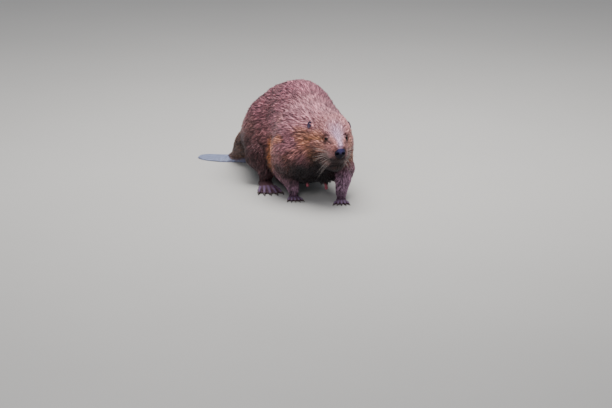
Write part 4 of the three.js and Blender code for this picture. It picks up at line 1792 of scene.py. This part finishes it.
    def build(self, material: bpy.types.Material) -> list[bpy.types.Object]:
        """Grows the whole coat.

        Args:
            material: The hair's finish.

        Returns:
            The coat's pieces.
        """
        roots = self._roots()
        chief = roots.share.argmax(1)
        right = HEAD.local(roots.at)[:, 1] < 0
        x, y = roots.at[:, 0], roots.at[:, 1]
        is_in = {name: np.isin(chief, regions) for name, regions in PARTS.items()}
        trunk = ~np.any(list(is_in.values()), 0)
        is_in |= {name: trunk & (y >= low) & (y < high) for name, (low, high) in TRUNK_ENDS.items()}
        rows = {}
        for name in ("head", "neck", "fore", "hind", "chest", "back", "loin"):
            near = right if name in ("head", "neck") else x < MIDLINE
            rows[Patch(f"coat_{name}_right")] = is_in[name] & near
            rows[Patch(f"coat_{name}_left")] = is_in[name] & ~near
        rows[Patch.RUMP] = trunk & (y >= TRUNK_ENDS["loin"][1])
        rows[Patch.TAIL_ROOT] = is_in["tail"]
        LOG.info("coat: %d locks", len(roots.at))
        return [self._piece(patch, roots.pick(np.nonzero(mask)[0]), material) for patch, mask in rows.items()]


@dataclass
class Eyes:
    """Two glossy eyeballs."""

    anatomy: Anatomy
    rings: int = 20
    spokes: int = 32

    def build(self, side: Side, material: bpy.types.Material) -> bpy.types.Object:
        """One eye, round about the way it looks, with a slightly fuller cornea.

        Args:
            side: Which eye.
            material: The eye's finish.

        Returns:
            The eye.
        """
        centre, aim = self.anatomy.eye_seat(side)
        across = unit(np.cross((0, 0, 1), aim))
        up = np.cross(aim, across)
        r, n = self.anatomy.eye.radius, self.spokes
        rows, rim = [centre + aim * r * 1.04], [0.0]
        for i in range(1, self.rings):
            a = math.pi * i / self.rings
            swell = 1 + 0.04 * max(0.0, math.cos(a * 1.8)) if a < 0.87 else 1.0
            for t in np.arange(n) * math.tau / n:
                round_aim = across * math.cos(t) + up * math.sin(t)
                rows.append(centre + r * swell * (aim * math.cos(a) + round_aim * math.sin(a)))
                rim.append(min(1.0, a / 1.25))
        rows.append(centre - aim * r)
        rim.append(1.0)
        last = len(rows) - 1
        faces = fan(0, 1, n) + ring_faces(1, self.rings - 1, n) + turned(fan(last, last - n, n))
        piece = make_mesh("eyeball_" + side.label, np.array(rows), outward(np.array(rows), faces), material)
        add_values(piece, "rim", np.array(rim))
        return dress(piece, "eye", "eye_" + side.label)


@dataclass
class NosePad:
    """The bare pad of the nose, with its side nostrils, raised from the flesh under it."""

    flesh: Flesh
    thickness: float = 1.3

    @staticmethod
    def zone(p: Points) -> np.ndarray:
        """Roughly how far points are from the bare part, in millimetres."""
        return (np.linalg.norm((HEAD.local(p) - [75, NOSE_LEFT, -28.5]) / [23, 20.5, 19.5], axis=1) - 1) * 20

    def distance(self, p: Points) -> np.ndarray:
        """Distance of points from the pad."""
        place, tilt = HEAD.place, HEAD.rotation
        shell = self.flesh.distance(p) - self.thickness
        d = -melt(-shell, -self.zone(p), 3)
        for left in (-9.5, 9.5):
            wing = Egg(Region.NOSE, 0, 5, place(73, NOSE_LEFT + left, -25), (8.5, 12.5, 10), tilt)
            d = melt(d, wing.distance(p), 5)
        d = melt(d, Egg(Region.NOSE, 0, 5, place(77, 4, -40), (8, 11, 8), tilt).distance(p), 5)
        for side in (-1, 1):
            d = np.maximum(d, -Anatomy.nostril(side).distance(p))
            rim = place(80, NOSE_LEFT + side * 15, -17), place(74, NOSE_LEFT + side * 21, -31)
            d = d + Fold(*rim, 2.8, 1.4).press(p)
        d = d + Fold(place(92, NOSE_LEFT, -17), place(88, NOSE_LEFT, -48), 1.7, 1.4).press(p)
        return np.maximum(d, 58 - HEAD.local(p)[:, 0])

    def build(self, material: bpy.types.Material) -> bpy.types.Object:
        """The nose pad, with a painted highlight on top between the nostrils."""
        at = HEAD.place(76, NOSE_LEFT, -30)
        lines = tuple(ruled(at[m] - 30, at[m] + 30, 1.0) for m in range(3))
        verts, quads = Net(self.distance, lines, margin=4).build()
        piece = make_mesh("nose_leather", verts, quads, material)
        q = HEAD.local(verts)
        # top is the share of the painted highlight on the pad.
        add_values(piece, "top", smooth(-33, -17, q[:, 2]) * np.exp(-((q[:, 1] - NOSE_LEFT) / 13) ** 2))
        return dress(piece, "nose", "nose_pad")


@dataclass
class Ears:
    """Small round ears, cupped and laid back."""

    anatomy: Anatomy
    rings: int = 12
    spokes: int = 36

    def build(self, side: Side, material: bpy.types.Material) -> bpy.types.Object:
        """One ear: an outer bowl and an inner one joined at a rolled rim.

        Args:
            side: Which ear.
            material: The ear's finish.

        Returns:
            The ear.
        """
        centre, lean = self.anatomy.ear_seat(side)
        e = self.anatomy.ear
        rows, inner = [], []
        for bowl in (0, 1):
            for i in range(self.rings + 1 - bowl):
                s = (i + 1) / (self.rings + 1)
                depth = math.sqrt(max(0.0, 1 - s * s))
                for j in range(self.spokes):
                    t = math.tau * j / self.spokes
                    edge = 1 + 0.05 * math.sin(3 * t) + 0.04 * math.cos(2 * t)
                    thick = 2.6 * (1 - s) + 1.5
                    y = e.half_depth * depth - (thick if bowl else 0.0) + 0.8 * s ** 4
                    out = s * edge * (1 - 0.06 * bowl)
                    rows.append([e.half_width * out * math.cos(t), y, e.half_height * out * math.sin(t)])
                    inner.append(float(bowl))
        n = self.spokes
        outer_rim, inner_start = self.rings * n, (self.rings + 1) * n
        inner_rim = inner_start + (self.rings - 1) * n
        faces = ring_faces(0, self.rings + 1, n) + turned(ring_faces(inner_start, self.rings, n))
        for j in range(n):
            k = (j + 1) % n
            faces += [[outer_rim + j, outer_rim + k, inner_rim + k], [outer_rim + j, inner_rim + k, inner_rim + j]]
        rows += [[0, e.half_depth, 0], [0, e.half_depth - 4.1, 0]]
        inner += [0.0, 1.0]
        faces += fan(len(rows) - 2, 0, n) + turned(fan(len(rows) - 1, inner_start, n))
        verts = np.array(rows) @ lean.T + centre
        piece = make_mesh("ear_cup_" + side.label, verts, outward(verts - centre, faces), material)
        add_values(piece, "inner", np.array(inner))
        return dress(piece, "ear", "ear_" + side.label)


@dataclass
class Claws:
    """Twenty curved claws."""

    rings: int = 9
    spokes: int = 12
    gap: float = 0.36

    def build(self, kind: str, limb: Limb, sizes: FootSizes, side: Side, number: int,
              material: bpy.types.Material) -> bpy.types.Object:
        """One claw, curved down from its toe to the floor.

        Args:
            kind: hind or fore.
            limb: The leg.
            sizes: The foot's sizes.
            side: The leg's side.
            number: The toe, from 0.
            material: The horn's finish.

        Returns:
            The claw.
        """
        toe, span = sizes.toe(limb, side, TOES[number])
        r, long = sizes.claw_radius, sizes.claw_length
        rows, along = [], []
        for i in range(self.rings):
            s = i / (self.rings - 1)
            f = span + self.gap - 2.0 * (1 - s) + (long - 0.6) * s
            high = 1.0 + (sizes.toe_radius * 0.75 - 1.0) * (1 - s) ** 1.15 + 1.9 * math.sin(math.pi * s)
            size = r * (1 - s) ** 0.6 * 0.9 + 0.18 * r
            for j in range(self.spokes):
                t = math.tau * j / self.spokes
                under = 0.55 if math.sin(t) < 0 else 1.0
                rows.append(toe.place(f, size * 0.82 * math.cos(t), max(0.3, high + size * under * math.sin(t))))
                along.append(s)
        rows += [toe.place(span - 2.4, 0, sizes.toe_radius * 0.75), toe.place(span + self.gap + long - 0.3, 0, 0.9)]
        along += [0.0, 1.0]
        n, end = self.spokes, len(rows) - 1
        faces = ring_faces(0, self.rings, n) + fan(end - 1, 0, n) + turned(fan(end, end - 1 - n, n))
        verts = np.array(rows)
        place = f"{kind}_{side.label}_{number + 1}"
        piece = make_mesh("nail_" + place, verts, outward(verts - verts.mean(0), faces), material)
        add_values(piece, "along", np.array(along))
        return dress(piece, "claw", "claw_" + place)


@dataclass
class Whiskers:
    """Stiff pale bristles of the upper lip."""

    flesh: Flesh
    radius: float = 0.6
    rings: int = 8
    seed: int = 77

    def build(self, side: Side, material: bpy.types.Material) -> bpy.types.Object:
        """One side's whiskers, as thin tapered tubes.

        Args:
            side: Which side.
            material: The bristle's finish.

        Returns:
            The whiskers.
        """
        rng = np.random.default_rng(self.seed)
        s = side.value
        verts, faces, along = [], [], []
        for row in range(5):
            for k in range(3):
                f, u = 68 - 9 * k + rng.normal(0, 1.5), -31 - 8 * row + rng.normal(0, 1)
                root, aim = self.flesh.emerge(HEAD.place(f - 14, 0, u), HEAD.place(f, s * 26, u), False)
                long = rng.uniform(38, 70) * (1 - 0.05 * k)
                drop = 0.04 - 0.25 * row + rng.normal(0, 0.07)
                out = HEAD.rotation @ unit(np.array([s * 1.0, 0.55 + 0.14 * k, drop]))
                sag = np.array([0, 0.22, -0.12 - 0.1 * row])
                self._bristle(root - aim, out, sag, long, verts, faces, along)
        piece = make_mesh("whiskers_" + side.label, np.array(verts), np.array(faces), material)
        add_values(piece, "along", np.array(along))
        return dress(piece, "coat")

    def _bristle(self, root: np.ndarray, out: np.ndarray, sag: np.ndarray, long: float,
                 verts: list, faces: list, along: list) -> None:
        """Adds one bristle.

        Args:
            root: Where it grows.
            out: Which way it starts.
            sag: How it bends over its length.
            long: Its length.
            verts: Vertices so far.
            faces: Faces so far.
            along: Shares of the length so far.
        """
        first = len(verts)
        side = unit(np.cross(out, (0.1, 0.2, 1.0)))
        over = np.cross(out, side)
        for i in range(self.rings):
            t = i / (self.rings - 1)
            at = root + out * long * t + sag * long * t * t
            r = self.radius * (1 - t) ** 0.8 + 0.07
            for a in np.arange(4) * math.pi / 2:
                verts.append(at + r * (side * math.cos(a) + over * math.sin(a)))
                along.append(t)
        faces += turned(ring_faces(first, self.rings, 4))
        end = len(verts) - 4
        faces += [[first, first + 1, first + 2], [first, first + 2, first + 3]]
        faces += [[end + 3, end + 2, end + 1], [end + 3, end + 1, end]]


@dataclass
class TailScales:
    """Overlapping horny scales over the top of the blade."""

    tail: Paddle
    long: float = 7.6
    wide: float = 6.4
    seed: int = 9

    def build(self, material: bpy.types.Material) -> bpy.types.Object:
        """Lays the scales in staggered rows.

        Args:
            material: The scales' finish.

        Returns:
            The scales.
        """
        rng = np.random.default_rng(self.seed)
        verts, faces, colours = [], [], []
        rows = int((self.tail.length + 4) / (self.long * 0.62))
        for i in range(rows):
            f = 8 + i * self.long * 0.62
            half = float(self.tail.width(np.array(f / self.tail.length))) - 2.2
            count = int(half / self.wide * 2)
            for k in range(-count // 2, count // 2 + 1):
                across = (k + 0.5 * (i % 2)) * self.wide + rng.normal(0, 0.25)
                if abs(across) > half or f > self.tail.length - 3:
                    continue
                self._scale(f + rng.normal(0, 0.25), across, rng, verts, faces, colours)
        piece = make_mesh("tail_scales", np.array(verts), np.array(faces), material)
        add_colours(piece, "hair", np.array(colours))
        return dress(piece, "scales")

    def _scale(self, f: float, across: float, rng: np.random.Generator,
               verts: list, faces: list, colours: list) -> None:
        """Adds one scale: a low domed shield whose far edge stands a little proud.

        Args:
            f: Its place along the blade.
            across: Its place across the blade.
            rng: The random source.
            verts: Vertices so far.
            faces: Faces so far.
            colours: Colours so far.
        """
        first = len(verts)
        tone = rng.uniform(0.75, 1.2)
        grey = np.array(srgb(150, 160, 192)) * tone
        half = [(-0.42, 0.36), (0.0, 0.5), (0.38, 0.38)]
        outline = [(-0.5, 0.0), *half, (0.56, 0.0), *((a, -b) for a, b in half[::-1])]
        # Painted shade and highlight: the rim rings are laid darker, the dome's ring at full tone and the crown a
        # little lighter.
        for ring, rise, shade in ((1.0, None, 0.55), (0.97, 0.25, 0.55), (0.55, 0.55, 1.0)):
            for a, b in outline:
                df, dl = a * ring * self.long, b * ring * self.wide
                up = self._top(f + df, across + dl) + (-0.6 if rise is None else rise + 0.55 * (a + 0.5))
                verts.append(self.tail.stand.place(f + df, across + dl, max(0.2, up)))
                colours.append(grey * shade)
        verts.append(self.tail.stand.place(f, across, self._top(f, across) + 0.85))
        colours.append(grey * 1.1)
        n = len(outline)
        hub = first + 3 * n
        faces += turned(ring_faces(first, 3, n)) + fan(hub, hub - n, n)
        faces += [[first, first + j, first + j + 1] for j in range(1, n - 1)]

    def _top(self, f: float, across: float) -> float:
        """Height of the blade's top."""
        t = np.array(f / self.tail.length)
        w = max(float(self.tail.width(t)), 1.0)
        return float(self.tail.height(t, np.array(min(1.0, abs(across) / w))))


@dataclass
class Studio:
    """Floor, lights and camera."""

    azimuth: float = -17.0
    elevation: float = 15.0
    away: float = 12.0
    lens: float = 202.6
    shift_right: float = -0.0348
    shift_up: float = -0.0052
    floor_half: float = 30.0
    floor_level: float = -0.0004

    def build(self, floor: bpy.types.Material) -> None:
        """Sets the studio up.

        Args:
            floor: The floor's finish.
        """
        half, level = self.floor_half, self.floor_level
        corners = [(x * half, y * half, level) for x, y in ((-1, -1), (1, -1), (1, 1), (-1, 1))]
        mesh = bpy.data.meshes.new("floor")
        mesh.from_pydata(corners, [], [(0, 1, 2, 3)])
        mesh.materials.append(floor)
        link("floor", mesh)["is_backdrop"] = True
        self._lamp("top_light", (0.3, 0.15, 2.7), (0, 0, 0.1), 2.2, 120, (1.0, 0.985, 0.97))
        self._lamp("front_light", (-1.6, -3.4, 2.4), (0, -0.2, 0.15), 1.6, 36, (1.0, 0.985, 0.99))
        world = bpy.data.worlds.new("studio")
        world.use_nodes = True
        sky = world.node_tree.nodes["Background"].inputs
        sky["Color"].default_value, sky["Strength"].default_value = (0.86, 0.9, 1.0, 1), 0.28
        bpy.context.scene.world = world
        self._camera()

    def _lamp(self, name: str, at: Triple, target: Triple, size: float, power: float, colour: Colour) -> None:
        """Adds a soft square lamp.

        Args:
            name: Its name.
            at: Its place in metres.
            target: What it faces.
            size: Its side.
            power: Its power in watts.
            colour: Its colour.
        """
        data = bpy.data.lights.new(name, "AREA")
        data.shape, data.size, data.energy, data.color = "SQUARE", size, power, colour
        lamp = link(name, data)
        lamp.location = at
        lamp.rotation_euler = (Vector(target) - Vector(at)).to_track_quat("-Z", "Y").to_euler()

    def _camera(self) -> None:
        """Adds the camera, which looks down the animal's right front."""
        a, e = math.radians(self.azimuth), math.radians(self.elevation)
        back = Vector((math.sin(a) * math.cos(e), -math.cos(a) * math.cos(e), math.sin(e)))
        right = Vector((math.cos(a), math.sin(a), 0))
        up = back.cross(right)
        data = bpy.data.cameras.new("camera")
        data.sensor_width, data.lens = 36, self.lens
        data.clip_start, data.clip_end = 0.1, 200
        camera = link("camera", data)
        camera.location = Vector(to_frame(np.zeros(3))) + back * self.away + right * self.shift_right + up * self.shift_up
        camera.rotation_mode = "QUATERNION"
        camera.rotation_quaternion = (-back).to_track_quat("-Z", "Y")
        bpy.context.scene.camera = camera


def main() -> None:
    """Builds the beaver piece by piece."""
    logging.basicConfig(level=logging.INFO, format="%(message)s")
    Studio().build(FloorFinish().make())
    anatomy = Anatomy()
    flesh = anatomy.build()
    markings = Markings()
    skin = Skin(anatomy, flesh, markings)
    skin.build(SkinFinish().make())
    eye, ear, horn = EyeFinish().make(), EarFinish().make(), HornFinish().make()
    bristle = WhiskerFinish().make()
    for side in Side:
        Eyes(anatomy).build(side, eye)
        Ears(anatomy).build(side, ear)
        Whiskers(flesh).build(side, bristle)
        for kind, limbs, sizes in (("hind", HIND, HIND_FOOT), ("fore", FORE, FORE_FOOT)):
            for number in range(5):
                Claws().build(kind, limbs[side], sizes, side, number, horn)
    NosePad(flesh).build(NoseFinish().make())
    TailScales(TAIL).build(ScaleFinish().make())
    Coat(skin, flesh, markings, Lie(flesh), thin=1.0).build(CoatFinish().make())
    sizes = {"cad": [list(corner) for corner in CAD_BOX], "visual": [list(corner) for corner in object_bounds()]}


if __name__ == "__main__":
    main()
